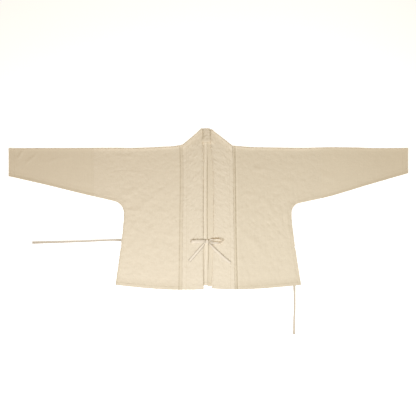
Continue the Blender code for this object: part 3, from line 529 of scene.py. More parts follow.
LUMPS = (
    Lump(0.052, 0.046, 0.00074, 0.60), Lump(0.021, 0.024, 0.00078, 0.35),
    Lump(0.011, 0.013, 0.00050, 0.25), Lump(0.0085, 0.032, 0.00045, 0.20))
LUMPS_TO_SLEEVE = (0.34, 0.46)
LUMPS_TO_TOP = (-0.05, 0.16)
LUMP_TOP = 0.70
LUMP_LOW = 1.35


def soft_noise(x, y, seed):
    """Smooth random heights between about -1 and 1, with a bump or a dip to a unit."""
    turn = np.random.default_rng(seed).uniform(0.0, 2 * math.pi, (LATTICE, LATTICE))
    column, row = np.floor(x).astype(int), np.floor(y).astype(int)
    aside, above = x - column, y - row
    soft_aside, soft_above = (
        share ** 3 * (share * (share * 6 - 15) + 10) for share in (aside, above))

    def corner(columns, rows):
        angle = turn[(column + columns) % LATTICE, (row + rows) % LATTICE]
        return np.cos(angle) * (aside - columns) + np.sin(angle) * (above - rows)

    low, high = (mix(corner(0, rows), corner(1, rows), soft_aside) for rows in (0, 1))
    return NOISE_HEIGHT * mix(low, high, soft_above)


def lumpy(lumps, x, y, body=1.0, first_seed=0):
    """Soft heights of several sizes, of which a share is left on the sleeves."""
    return sum(lump.rise * mix(lump.on_sleeve, 1.0, body)
               * soft_noise(x / lump.wide, y / lump.high, seed)
               for seed, lump in enumerate(lumps, first_seed))


def creased(half, out, y):
    """How far the long creases lift the front."""
    rise = np.zeros(np.shape(out))
    for crease in CREASES[half.name]:
        share, across = from_line(out, y, crease[:2], crease[2:4])
        ends = bounded(1.0 - (2.0 * share - 1.0) ** 2)
        rise = np.maximum(rise, crease.rise * ends * fade(across, 0.0, crease.reach))
    return rise


def uneven(half, out, y):
    """Small soft heights all over the cloth, and slanting ripples on the left front."""
    x = half.sign * out
    height = lumpy(LUMPS, x, y, fade(out, *LUMPS_TO_SLEEVE))
    height *= mix(LUMP_TOP, LUMP_LOW, fade(y, *LUMPS_TO_TOP))
    if half is LEFT:
        from_place = np.hypot(x - RIPPLE_PLACE[0], y - RIPPLE_PLACE[1])
        up_right, down_right = (x + y) / math.sqrt(2), (x - y) / math.sqrt(2)
        ripples = soft_noise(up_right / RIPPLE_WIDE, down_right / RIPPLE_LONG, RIPPLE_SEED)
        height += RIPPLE_RISE * ripples * fade(from_place, *RIPPLE_REACH)
    return height


sample = uneven(RIGHT, np.linspace(0.1, 0.7, 2000), np.linspace(0.12, 0.24, 2000))
print("uneven heights up to", round(float(sample.max()) * 1000, 2), "mm")

# %% Height of the front over the floor
GAP_INSIDE = 0.0008
GAP_FOLD = 0.0034
GAP_CUFF = 0.0022
GAP_SEAM = 0.0024
GAP_TIE = 0.0022
FOLD_REACH = 0.029
FOLD_POWER = 1.5
BODY_TO_SLEEVE = (0.34, 0.50)
SEAM_REACH = (0.004, 0.027)
SEAM_GROOVE = 0.0005
GROOVE_PLACE = 0.0125
GROOVE_WIDTH = 0.0050
TIE_REACH = (0.036, 0.060)
TIE_GAP_ENDS = (-0.105, -0.060)


def front_height(plan, out, y, edge):
    """The height of the front's upper face, where edge is the distance from the seams."""
    top = plan.shoulder(out) - y
    fold = mix(GAP_CUFF, GAP_FOLD, fade(out, *BODY_TO_SLEEVE))
    gap = GAP_INSIDE + (fold - GAP_INSIDE) * bounded(1.0 - top / FOLD_REACH) ** FOLD_POWER
    gap += (GAP_SEAM - GAP_INSIDE) * fade(edge, *SEAM_REACH)
    gap -= SEAM_GROOVE * beside(edge, GROOVE_PLACE, 0.0, GROOVE_WIDTH)
    if plan.half is LEFT:
        share = fade(edge, *TIE_REACH) * fade(y, *TIE_GAP_ENDS)
        gap = mix(gap, np.maximum(gap, GAP_TIE), share)
    return 2 * CLOTH + gap + creased(plan.half, out, y) + uneven(plan.half, out, y)


def fold_inset(plan, out, y):
    """How far the layers' edge lies inside the outline of a fold or a joined seam."""
    return front_height(plan, out, y, plan.seam_distance(out, y)) / 2


sample = front_height(PLANS["right"], np.array([0.2]), np.array([0.0]), np.array([0.1]))
print("front over its middle:", round(float(sample[0]) * 1000, 2), "mm high")

# %% [markdown]
# Each panel is one cloth that goes up the front, over the shoulder and down the back. Its outer
# face is built first, as two grids and the turned strips between them, and then the same points,
# moved in by the cloth's thickness, make its inner face. A Solidify modifier does nearly this, but
# here the thickness changes: hems are turned and so twice as thick, and edges are rounded.

# %% Cloth from its outer face
THIN = 0.0008
HEM_WIDTH = 0.012
HEM_EXTRA = 0.0005
RIM_ROUND = 0.35
TURN_STEPS = 8


def cloth_marks(x=FAR, y=FAR, z=FAR, centre=FAR, rubbed=0.0):
    """The marks of places. One that isn't given is far away, or has no painted highlight."""
    return stacked(x, y, z, centre, rubbed)


def hemmed(from_edge, width=HEM_WIDTH):
    """The thickness of a cloth with a turned hem."""
    return THIN + HEM_EXTRA * step(from_edge, width)


class Cloth:
    """A wall of cloth made from its outer face, its thickness, and marks on it."""

    def __init__(self, plan):
        self.plan = plan
        self.points, self.thick = np.zeros((0, 3)), np.zeros(0)
        self.marks, self.quads = np.zeros((0, MARK_COLUMNS)), np.zeros((0, 4), int)

    def add(self, points, thick, marks):
        """Store a block of points and return their numbers in the same layout."""
        shape = points.shape[:-1]
        numbers = len(self.points) + np.arange(np.prod(shape)).reshape(shape)
        self.points = np.vstack([self.points, points.reshape(-1, 3)])
        self.thick = np.append(self.thick, np.broadcast_to(thick, shape))
        marks = np.broadcast_to(marks, shape + (MARK_COLUMNS,)).reshape(-1, MARK_COLUMNS)
        self.marks = np.vstack([self.marks, marks])
        return numbers

    def layers(self, out, y, rise, thick, marks):
        """Add the front and the back at the same places, and return their numbers."""
        height = front_height(self.plan, out, y, marks[..., 2]) + rise
        return [self.add(self.plan.points(out, y, z), thick, marks) for z in (height, 0.0)]

    def grid(self, index, turned=False):
        """Join a two-way layout of numbers by faces, leaving out numbers below zero."""
        quads = stacked(index[:-1, :-1], index[1:, :-1], index[1:, 1:], index[:-1, 1:])
        quads = quads[(quads >= 0).all(axis=-1)]
        self.quads = np.vstack([self.quads, quads[:, ::-1] if turned else quads])

    def turn(self, front, back, outward, turned=False):
        """Turn the front round into the back along two chains of numbers."""
        angle = math.pi * np.arange(1, TURN_STEPS)[:, None] / TURN_STEPS
        ray = self.plan.points(*outward.T)[:, None] * np.sin(angle) + UP * np.cos(angle)
        above, below = self.points[front][:, None], self.points[back][:, None]
        rings = (above + below) / 2 + ray * (above - below)[..., 2:] / 2
        numbers = self.add(rings, self.thick[front][:, None], self.marks[front][:, None])
        self.grid(np.hstack([front[:, None], numbers, back[:, None]]), turned)

    def build(self, name, front):
        """The closed wall. front is a layout of numbers whose outer face looks up."""
        outer, thick, quads, count = self.points, self.thick, self.quads, len(self.points)
        corners = outer[quads]
        facing = np.cross(corners[:, 2] - corners[:, 0], corners[:, 3] - corners[:, 1])
        normal = np.zeros_like(outer)
        for corner in quads.T:
            np.add.at(normal, corner, facing)
        if normal[front[len(front) // 2, front.shape[1] // 2], 2] < 0:
            quads, normal = quads[:, ::-1], -normal
        normal = unit(normal)
        inner = outer - normal * thick[:, None]
        start, end = quads.T.ravel(), np.roll(quads, -1, axis=1).T.ravel()
        open_edge = ~np.isin(start * count + end, end * count + start)
        start, end = start[open_edge], end[open_edge]
        away = np.zeros_like(outer)
        for numbers in (start, end):
            np.add.at(away, numbers, np.cross(unit(outer[end] - outer[start]), normal[start]))
        rim = np.unique(start)
        middle = (outer[rim] + inner[rim]) / 2 + unit(away[rim]) * thick[rim][:, None] * RIM_ROUND
        number = np.zeros(count, int)
        number[rim] = 2 * count + np.arange(len(rim))
        faces = np.concatenate([
            quads, quads[:, ::-1] + count, stacked(end, start, number[start], number[end]),
            stacked(number[end], number[start], start + count, end + count)])
        points = np.concatenate([outer, inner, middle])
        marks = np.concatenate([self.marks, self.marks, self.marks[rim]])
        return cloth_object(name, points, faces, points[:, :2], marks)


print("a fold is drawn in", TURN_STEPS, "steps")

# %% Sleeves
CUFF_HEM = 0.023
CUFF_LINE = 0.009
CUFF_RISE = 0.0004
# Painted highlight along the shoulder fold and towards the cuffs
FOLD_HIGHLIGHT_REACH = (0.005, 0.018)
SLEEVE_HIGHLIGHT = 0.70
CUFF_HIGHLIGHT = {"right": 0.12, "left": 0.42}
CUFF_HIGHLIGHT_REACH = (0.0, 0.130)
SLEEVE_COLUMNS = 84
SLEEVE_ROWS = 40
EDGE_STEPS = (0.0, 0.0015, 0.0035, 0.006, 0.009, 0.0118, 0.0130, 0.0142, 0.017)
CUFF_STEPS = (0.0, 0.0008, 0.003, 0.006, 0.0084, 0.0090, 0.0096, 0.012, 0.016, 0.020, 0.0224,
              0.0230, 0.0236)
SEAM_STEPS = (0.0, 0.0002, 0.001, 0.003, 0.006)


def top_edge(plan, out):
    """The height of the layers' edge along the fold of the shoulder."""
    return plan.shoulder(out) - fold_inset(plan, out, plan.shoulder(out))


def low_edge(plan, low, flat):
    """Points of the layers' edge along a seam, from the seam's points and directions."""
    return low - flat * fold_inset(plan, *low.T)[:, None]


def fold_highlight(plan, out, y):
    """How strongly a painted highlight lightens the cloth along the fold of the shoulder."""
    return fade(plan.shoulder(out) - y, *FOLD_HIGHLIGHT_REACH)


def make_sleeve(half):
    """A sleeve: one cloth, folded at the top and sewn along the underside."""
    plan = PLANS[half.name]
    length = CUFF_OUT - half.sleeve_seam - SEAM_GAP / 2
    out = CUFF_OUT - placed(length, CUFF_STEPS, SEAM_STEPS, SLEEVE_COLUMNS)[0]
    top_y = top_edge(plan, out)
    low, flat = plan.under(out)
    span = top_y - low_edge(plan, low, flat)[:, 1]
    y = top_y[:, None] - placed(span, EDGE_STEPS, EDGE_STEPS, SLEEVE_ROWS)
    out = np.broadcast_to(out[:, None], y.shape)
    cuff = CUFF_OUT - out
    rise = CUFF_RISE * (step(cuff, CUFF_HEM) + step(cuff, CUFF_LINE) / 2)
    # A painted highlight lightens the sleeve along its fold and towards the cuff
    rubbed = SLEEVE_HIGHLIGHT * fold_highlight(plan, out, y) + CUFF_HIGHLIGHT[half.name] * fade(cuff, *CUFF_HIGHLIGHT_REACH)
    marks = cloth_marks(out - half.sleeve_seam, cuff, plan.seam_distance(out, y), rubbed=rubbed)
    cloth = Cloth(plan)
    front, back = cloth.layers(out, y, rise, hemmed(cuff, CUFF_HEM), marks)
    cloth.grid(front)
    cloth.grid(back, True)
    cloth.turn(front[:, 0], back[:, 0], np.tile((0.0, 1.0), (len(front), 1)), True)
    cloth.turn(front[:, -1], back[:, -1], flat)
    return cloth.build("sleeve_" + half.name + "_cloth", front)


sleeves = {half.name: make_sleeve(half) for half in HALVES}
show(*sleeves.values())

# %% The neck, where the collar folds over
NECK_TURN = 0.15
FOLD_AIR = 0.0004
ROLL_RISE = 0.0009
FOLD_RADIUS = (BAND + FOLD_AIR + ROLL_RISE) / 2


def neck_outward(half, across):
    """Outward directions of the collar's slanting fold, straight up at the neck seam."""
    slant = np.subtract(half.collar_corner, half.neck_corner)
    normal = unit(np.array((slant[1], -slant[0])))
    share = np.minimum(across / NECK_TURN, 1.0)[..., None]
    return unit(mix(np.array((0.0, 1.0)), normal, share))


def neck_axis(half, across):
    """The middle of the collar's fold, from the neck seam to the free edge."""
    ends = np.array(half.neck_corner), np.array(half.collar_corner)
    return mix(*ends, across[..., None]) - neck_outward(half, across) * (FOLD_RADIUS + BAND / 2)


def neck_seam(x):
    """The height of the seam between the back and the collar, at places across."""
    height = np.zeros_like(x)
    for half in HALVES:
        start = half.sign * half.band_outer[-1][1]
        share = bounded((x - start) / (CENTRE_SEAM_X - start))
        here = mix(neck_axis(half, np.zeros(1))[0, 1], NECK_CENTRE, np.sin(math.pi / 2 * share))
        height = np.where((x < CENTRE_SEAM_X) == (half is RIGHT), here, height)
    return height


print("neck seam at the centre:", float(neck_seam(np.array([CENTRE_SEAM_X]))[0]))

# %% Columns and rows of a body panel
STRIP_WIDTH = 0.012
STRIP_EASE = 0.020
ARMPIT_TOP_OUT = 0.004
SEAM_CLOSE = 0.0003
BAND_STEPS = (0.0, 0.0003, 0.0008, 0.0016, 0.004, 0.0075, 0.0108, 0.0116, 0.0121, 0.0127,
              0.0140, 0.0165)
HEM_STEPS = (0.0, 0.001, 0.003, 0.006, 0.009, 0.0113, 0.0119, 0.0125, 0.014)
SIDE_COLUMNS = 56
UPPER_ROWS = 66
LOWER_ROWS = 72
UNDER_COLUMNS = 22
ARMPIT_COLUMNS = 22
FITTING_ROUNDS = 4


def at_column(width, near, far, between):
    """The distance in, for each column along the first axis, where the width varies."""
    all_columns = placed(width.ravel(), near, far, between).reshape(*width.shape, -1)
    column = np.arange(width.shape[0])[:, None, None]
    return np.take_along_axis(all_columns, np.broadcast_to(column, width.shape + (1,)), 2)[..., 0]


def beside_band(plan, y, distance):
    """The distance moved in or out, so that STRIP_WIDTH lands on the strip's edge."""
    change = smooth_line(plan.half.strip, y) - STRIP_WIDTH
    before = bounded(distance / STRIP_WIDTH)
    after = bounded((distance - STRIP_WIDTH) / STRIP_EASE)
    return distance + change * before * (1.0 - after)


def body_columns(plan, top_y, y):
    """Places out for columns from the side seam to the collar band, at heights y."""
    start, armpit_y, side = plan.half.side_out, plan.armpit_y, plan.side(y)
    side = side - fold_inset(plan, side, y) * fade(SLIT_TOP - y, 0.0, SLIT_EASE)
    joined = start - fold_inset(plan, np.array([start]), np.array([armpit_y]))
    share = bounded((y - armpit_y) / (top_y - armpit_y))
    outer = np.where(y > armpit_y, mix(joined, start + ARMPIT_TOP_OUT, share), side)
    inner = plan.band_outer(y) + SEAM_GAP
    from_band = outer - inner - at_column(outer - inner, EDGE_STEPS, BAND_STEPS, SIDE_COLUMNS)
    return inner + beside_band(plan, y, from_band), from_band


def down_rows(top_y, hem_y, armpit_y):
    """Heights of the rows of a column: from the top to the armpit, and on to the hem."""
    upper = top_y[:, None] - placed(top_y - armpit_y, EDGE_STEPS, (0.0,), UPPER_ROWS)
    lower = armpit_y - placed(armpit_y - hem_y, (0.0,), HEM_STEPS, LOWER_ROWS)
    return np.hstack([upper, lower[:, 1:]])


def body_places(plan):
    """Places of the body part, found again until heights and places agree."""
    count = len(EDGE_STEPS) + SIDE_COLUMNS - 1 + len(BAND_STEPS)
    out = np.linspace(plan.half.side_out, plan.band_outer(0.0), count)[:, None]
    for _ in range(FITTING_ROUNDS):
        top_y = top_edge(plan, out[:, 0])
        y = down_rows(top_y, plan.hem(out[:, -1]), plan.armpit_y)
        out, from_band = body_columns(plan, top_y[:, None], y)
    return out, y, from_band


def arm_places(plan):
    """Places from the sleeve seam round the armpit, and outward directions along its seam."""
    seam = plan.half.sleeve_seam - SEAM_GAP / 2
    straight = np.r_[seam, np.linspace(seam - SEAM_CLOSE, plan.arc_out, UNDER_COLUMNS)]
    arc = np.linspace(0.0, 1.0, ARMPIT_COLUMNS + 1)[1:]
    low, flat = (np.concatenate(pair) for pair in zip(plan.under(straight), plan.armpit(arc)))
    low = low_edge(plan, low, flat)
    low[0, 0] = seam
    last = plan.half.side_out + ARMPIT_TOP_OUT
    top_out = np.r_[seam, np.linspace(seam - SEAM_CLOSE, last, len(low) - 1)]
    top = stacked(top_out, top_edge(plan, top_out))
    shares = placed(np.linalg.norm(top - low, axis=1), EDGE_STEPS, (0.0,), UPPER_ROWS)
    places = mix(top[:, None], low[:, None], (shares / shares[:, -1:])[..., None])[:-1]
    return places[..., 0], places[..., 1], flat


BODY_PLACES = {name: body_places(plan) for name, plan in PLANS.items()}
print("body columns and rows:", BODY_PLACES["right"][0].shape)

# %% Front and back of a body panel
HEM_RISE = 0.0004
HEM_LIFT = 0.0012
HEM_LIFT_REACH = (0.002, 0.030)
STRIP_RISE = 0.0006
STRIP_STEP = 0.0012
EDGE_DROP = 0.0002
EDGE_DROP_REACH = 0.0014
BODY_HIGHLIGHT = 1.35


def add_body(cloth, upper):
    """Add the body part in front and behind. Returns its rows' heights and its numbers."""
    plan = cloth.plan
    out, y, from_band = BODY_PLACES[plan.half.name]
    hem, edge = y - plan.hem(out), plan.seam_distance(out, y)
    strip = STRIP_RISE * step(from_band, STRIP_WIDTH, STRIP_STEP)
    rise = np.maximum(HEM_RISE * step(hem, HEM_WIDTH), strip)
    rise += HEM_LIFT * fade(hem, *HEM_LIFT_REACH)
    rise -= EDGE_DROP * bounded(1.0 - from_band / EDGE_DROP_REACH) ** 2
    height = front_height(plan, out, y, edge) + rise
    # A painted highlight lightens the front along the shoulder fold
    marks = cloth_marks(from_band, hem, edge, rubbed=BODY_HIGHLIGHT * fold_highlight(plan, out, y))
    front = cloth.add(plan.points(out, y, height), hemmed(hem), marks)
    back_out, back_y = out.copy(), y.copy()
    back_y[:, upper:] = down_rows(y[:, 0], plan.back_hem(out[:, -1]), plan.armpit_y)[:, upper:]
    back_out[:, upper:] = body_columns(plan, y[:, :1], back_y)[0][:, upper:]
    back_hem = back_y - plan.back_hem(back_out)
    marks = cloth_marks(y=back_hem, z=edge)
    return y, front, cloth.add(plan.points(back_out, back_y), hemmed(back_hem), marks)


print("hems are", HEM_WIDTH * 1000, "mm wide, and strips beside the band", STRIP_WIDTH * 1000)

# %% Back of a body panel in the opening
NECK_RIDGE = 0.0007
NECK_RIDGE_REACH = (0.0015, 0.0100)
# Painted highlight on the ridge at the neck seam, on the back and on the band
NECK_HIGHLIGHT = 2.0
RIDGE_DOWN = 0.002
RIDGE_HALF = 0.011
INNER_FROM = 0.25
INNER_STEPS = (0.0, 0.006, 0.0139, 0.0145, 0.0151, 0.020, 0.026)
INNER_LAST_STEP = 0.0001
INNER_COLUMNS = 12
INNER_EXTRA = 0.0003
INNER_SHARE = 0.35
# Painted light that lightens the back in the opening, most round the bow, where it lies in shade
INNER_HIGHLIGHT = ((-0.250, 0.0), (-0.224, 0.15), (-0.168, 0.55), (-0.110, 0.42), (-0.028, 0.34),
             (0.056, 0.40), (0.140, 0.22), (0.250, 0.30))
CENTRE_SHIFT = (
    (-0.310, -0.0004), (-0.232, 0.0000), (-0.194, 0.0026), (-0.150, 0.0028),
    (-0.112, -0.0020), (0.270, -0.0020))
SEAM_FADES = 0.0030
SEAM_FADES_BELOW = (-0.270, -0.200)
SEAM_FADES_ABOVE = (-0.240, -0.150)
ALLOWANCE_WIDTH = 0.0145
ALLOWANCE_RISE = 0.0009


def add_inner_back(cloth, edge_y, upper):
    """Add the back between the band and the centre back seam. Returns its numbers."""
    plan, half = cloth.plan, cloth.plan.half
    centre = half.sign * CENTRE_SEAM_X + SEAM_GAP / 2
    start = plan.band_outer(INNER_FROM) + SEAM_GAP
    steps = placed(start - centre, INNER_STEPS, (INNER_LAST_STEP,), INNER_COLUMNS)[0][::-1]
    places = centre + steps
    neck = neck_seam(half.sign * places) - 2 * SEAM_GAP
    share = bounded((edge_y[0] - edge_y) / (edge_y[0] - plan.armpit_y))
    y = mix(neck[:, None], plan.armpit_y, share)
    y[:, upper:] = down_rows(neck, plan.back_hem(places), plan.armpit_y)[:, upper:]
    out = np.tile(places[:, None], (1, y.shape[1]))
    out[0, 1:] += plan.band_outer(y[0, 1:]) + SEAM_GAP - start
    from_centre, from_neck = out - centre, y[:, :1] - y
    aside = bounded(1.0 - from_centre / (start - centre))
    out = out + half.sign * smooth_line(CENTRE_SHIFT, y) * aside
    hem = y - plan.back_hem(out)
    thick = hemmed(hem) + INNER_EXTRA + INNER_SHARE * uneven(half, out, y)
    thick += NECK_RIDGE * fade(from_neck, *NECK_RIDGE_REACH)
    if half is RIGHT:
        thick += ALLOWANCE_RISE * step(from_centre, ALLOWANCE_WIDTH)
    faded = np.maximum(fade(y, *SEAM_FADES_BELOW), fade(-y, *SEAM_FADES_ABOVE))
    # Painted highlight on the neck ridge, and painted light over the back in the opening
    neck_highlight = NECK_HIGHLIGHT * beside(from_neck, RIDGE_DOWN, 0.0, RIDGE_HALF)
    marks = cloth_marks(y=hem, centre=from_centre + SEAM_FADES * faded,
                        rubbed=np.maximum(neck_highlight, smooth_line(INNER_HIGHLIGHT, y)))
    return cloth.add(plan.points(out, y), thick, marks)


print("seam allowance at the centre back:", ALLOWANCE_WIDTH * 1000, "mm")


# %% Body panels
def make_body(half):
    """A body panel: front and back in one, folded at the shoulder, with a side slit."""
    plan = PLANS[half.name]
    cloth = Cloth(plan)
    arm_out, arm_y, flat = arm_places(plan)
    # A painted highlight lightens the cloth along the shoulder fold
    marks = cloth_marks(z=plan.seam_distance(arm_out, arm_y),
                        rubbed=BODY_HIGHLIGHT * fold_highlight(plan, arm_out, arm_y))
    arm = cloth.layers(arm_out, arm_y, 0.0, THIN, marks)
    upper = arm_y.shape[1] - 1
    y, *body = add_body(cloth, upper)
    inner_back = add_inner_back(cloth, y[-1], upper)

    # Faces, then the shoulder fold, and the joined seam down to the slit
    missing = np.full((len(arm_y), y.shape[1] - upper - 1), -1)
    cloth.grid(np.vstack([np.hstack([arm[0], missing]), body[0]]))
    cloth.grid(np.vstack([np.hstack([arm[1], missing]), body[1], inner_back]), True)
    tops = [np.append(near[:, 0], far[:, 0]) for near, far in zip(arm, body)]
    cloth.turn(*tops, np.tile((0.0, 1.0), (len(tops[0]), 1)), True)
    slit = int(np.argmax(y[0] < SLIT_TOP))
    side_flat = plan.side_seam(y[0, upper + 1:slit])[1]
    seams = [np.append(near[:, upper], far[0, upper:slit]) for near, far in zip(arm, body)]
    cloth.turn(*seams, np.concatenate([flat, side_flat]))
    return cloth.build("body_" + half.name + "_cloth", body[0])


bodies = {half.name: make_body(half) for half in HALVES}
show(*bodies.values())

# %% [markdown]
# The collar band is one long strip, folded double, sewn round the neck and down both fronts. Where
# it passes the shoulders it folds over, so at the back of the neck its inner side shows. Rows of
# points across the band, from one hem round to the other, give this; a sweep along a curve would
# twist at the two slanting folds. Its edges are rounded, because they too are folded cloth.

# %% Rows of the collar band
BAND_WIDE = 0.084
BAND_SIDE = (0.0, 0.0002, 0.0006, 0.0012, 0.0020, 0.0045, 0.008)
BAND_ACROSS = 20
BAND_ROWS = 168
BAND_TURN = 12
BAND_BACK_ROWS = 30
BAND_HEM_STEPS = (0.0, 0.0004, 0.0010, 0.0018, 0.004, 0.007)
BAND_OVER_FLOOR = 0.0006
BAND_CLIMBS = (0.185, 0.240)
SLANT_REACH = 0.045
ROLL_REACH = 0.020


def band_level(y):
    """The height of the middle of the band on the front."""
    low, high = CLOTH + BAND_OVER_FLOOR + BAND / 2, BAND + FOLD_AIR + BAND / 2
    return mix(low, high, 1.0 - fade(y, *BAND_CLIMBS))


def band_half(half):
    """Rows of one half, from the hem to the centre back: points, directions and distances."""
    plan = PLANS[half.name]
    across = placed(BAND_WIDE, BAND_SIDE, BAND_SIDE, BAND_ACROSS)[0] / BAND_WIDE
    axis_out, axis_y = neck_axis(half, across).T
    hem = plan.hem(mix(plan.band_outer(HEM_SIDE), plan.band_inner(HEM_SIDE), across))
    y = hem + placed(axis_y - hem, BAND_HEM_STEPS, (0.0,), BAND_ROWS).T
    below = axis_y - y
    out = mix(plan.band_outer(y), plan.band_inner(np.minimum(y, axis_y[-1])), across)
    plain_out = mix(plan.band_outer(axis_y), plan.band_inner(axis_y), across)
    out = out + (axis_out - plain_out) * fade(below, 0.0, SLANT_REACH)
    front = plan.points(out, y, band_level(y) + ROLL_RISE * fade(below, 0.0, ROLL_REACH))
    angle = (math.pi * np.arange(1, BAND_TURN) / BAND_TURN)[:, None, None]
    ray = plan.points(*neck_outward(half, across).T) * np.sin(angle) + UP * np.cos(angle)
    fold = plan.points(axis_out, axis_y, BAND / 2 + FOLD_RADIUS) + ray * FOLD_RADIUS
    share = np.linspace(0.0, 1.0, BAND_BACK_ROWS + 1)[:, None]
    back_x = mix(half.sign * axis_out, CENTRE_SEAM_X, share)
    seam_rise = neck_seam(back_x[:, :1]) - axis_y[0]
    free_rise = (COLLAR_TOP - axis_y[-1]) * np.sin(math.pi / 2 * share)
    back = stacked(back_x, axis_y + mix(seam_rise, free_rise, across), BAND / 2)
    normal = [np.broadcast_to(UP, front.shape), ray, np.broadcast_to(-UP, back.shape)]
    far = np.full((len(fold) + len(back), len(hem)), FAR)
    return (np.concatenate([front, fold, back]), np.concatenate(normal),
            np.concatenate([y - hem, far]), np.concatenate([below, far]))


RIGHT_ROWS, LEFT_ROWS = (band_half(half) for half in HALVES)
print("rows and points across in half a band:", RIGHT_ROWS[0].shape[:2])

# %% Collar band
BAND_ROUND = 0.0014
END_ROUND = 0.75
INNER_LINES = ((0.016, 0.00026), (0.0235, 0.00018))
INNER_LINE_STEP = 0.0012
BAND_LUMPS = (
    Lump(0.045, 0.034, 0.00060, 1.0), Lump(0.015, 0.024, 0.00085, 1.0),
    Lump(0.0078, 0.013, 0.00062, 1.0))
BAND_LUMPS_SEED = 31
BOW_MIDDLE = -0.168
BOW_HOLLOW = 0.0006
BOW_REACH = (0.055, 0.080)
RIDGE_LEVEL = 0.2655
RIDGE_ACROSS = -0.002
RIDGE_REACH = (0.022, 0.036)
RIDGE_RISE = 0.0013
# Painted highlight along the band's folds at the shoulders. Painted shadow along the free edge of
# the lower right front, and in wedges at the back of the neck beside both fronts' free edges
FOLD_BRIGHT = 1.1
FOLD_BRIGHT_REACH = (0.006, 0.045)
FREE_EDGE_SHADE = 0.0022
NECK_SHADE = 0.0045
NECK_CORE = 0.0030
WEDGES = {"right": (0.0034, 0.00105), "left": (-0.0008, 0.00095)}
WEDGE_ENDS = 0.0010
WEDGE_ENDS_REACH = (0.270, 0.292)


def ring_of(top, under):
    """Rows of points over the top of a strip and back along its underside."""
    return np.concatenate([top, under[:, -2:0:-1]], axis=1)


def end_faces(rows, columns, count):
    """Faces that close both ends of a strip, with count points on the top of each ring."""
    faces = []
    for start, way in ((0, -1), ((rows - 1) * columns, 1)):
        top = start + np.arange(count)
        under = start + np.r_[0, np.arange(columns - 1, count - 1, -1), count - 1]
        quads = stacked(top[:-1], top[1:], under[1:], under[:-1])[:, ::way]
        faces += [list(dict.fromkeys(quad)) for quad in quads.tolist()]
    return faces


def collar_marks(x, y, across, end, below, ridge, low_right):
    """Marks of the collar band on its ring of points, with its painted shadow and painted
    highlights.
    """
    on_back = end == FAR
    shade = np.where(low_right, BAND_WIDE - across, FAR)
    for half in HALVES:
        shift, faint = WEDGES[half.name]
        aside = np.abs(x - half.sign * PLANS[half.name].band_inner(y) - shift)
        wedge = np.maximum(aside - NECK_CORE, 0.0) * FREE_EDGE_SHADE / NECK_SHADE + faint
        wedge += WEDGE_ENDS * fade(y, *WEDGE_ENDS_REACH)
        shade = np.where(on_back, np.minimum(shade, wedge), shade)
    rubbed = np.maximum(NECK_HIGHLIGHT * ridge, FOLD_BRIGHT * fade(below, *FOLD_BRIGHT_REACH))
    from_seam, from_free = (
        np.where(on_back, FAR, distance) for distance in (across, BAND_WIDE - across))
    return cloth_marks(from_seam, end, from_free, shade, rubbed)


def make_collar():
    """The collar band: a closed flat strip with rounded edges and ends."""
    points, normal, end, below = (
        np.concatenate([right, left[-2::-1]]) for right, left in zip(RIGHT_ROWS, LEFT_ROWS))
    x, y = points[..., 0], points[..., 1]
    across = placed(BAND_WIDE, BAND_SIDE, BAND_SIDE, BAND_ACROSS)[0]
    from_edge = np.minimum(across, BAND_WIDE - across)
    side_round = np.sqrt(1.0 - (1.0 - bounded(from_edge / BAND_ROUND)) ** 2)
    end_round = np.sqrt(1.0 - (END_ROUND * (1.0 - bounded(end / BAND_ROUND))) ** 2)
    half_wall = BAND / 2 * side_round * end_round
    ridge = beside(y, RIDGE_LEVEL, 0.0, RIDGE_HALF) * beside(x, RIDGE_ACROSS, *RIDGE_REACH)
    relief = RIDGE_RISE * ridge
    relief += sum(rise * step(across, at, INNER_LINE_STEP) for at, rise in INNER_LINES)
    soft = lumpy(BAND_LUMPS, x, y, first_seed=BAND_LUMPS_SEED)
    soft -= BOW_HOLLOW * beside(y, BOW_MIDDLE, *BOW_REACH)
    above = bounded(1.0 + normal[..., 2])
    upper = half_wall + (relief + soft) * side_round * above
    lower = half_wall + soft * side_round * (1.0 - above)
    ring = ring_of(points + normal * upper[..., None], points - normal * lower[..., None])
    faces = [*tube_faces(*ring.shape[:2]), *end_faces(*ring.shape[:2], len(across))]
    low_right = (np.arange(len(points)) < len(RIGHT_ROWS[0]) // 2)[:, None]
    values = np.broadcast_arrays(x, y, across, end, below, ridge, low_right)
    values = [ring_of(value, value) for value in values]
    along = travelled(points[:, len(across) // 2])[:, None]
    return cloth_object("collar_cloth", ring, faces, stacked(values[2], along),
                        collar_marks(*values))


collar = make_collar()
show(collar)

# %% [markdown]
# The bow's knot is a turn of tape drawn tight round the two tapes, so it is gathered into small
# ridges and bulges between them. A ring swept round the bow, with its width worked out from a few
# ridges, shows this; a sculpted lump would be softer, but hard to make again.

# %% Knot of the bow
KNOT_MIDDLE = (-0.0056, -0.1305, 0.00555)
KNOT_STRAIGHT = 0.0050
KNOT_RADIUS = 0.0025
KNOT_HALF = 0.0041
KNOT_AROUND = 56
KNOT_ACROSS = 25
KNOT_BULGE = 0.0005
KNOT_HIGHLIGHT = 1.0
KNOT_RIDGE = 0.00022
KNOT_RIDGES = 5
RIDGE_POWER = 4
EDGE_POWER = 8
RIDGES_SLANT = 3.0
KNOT_WAVE = 0.06
KNOT_WAVES = 5.0


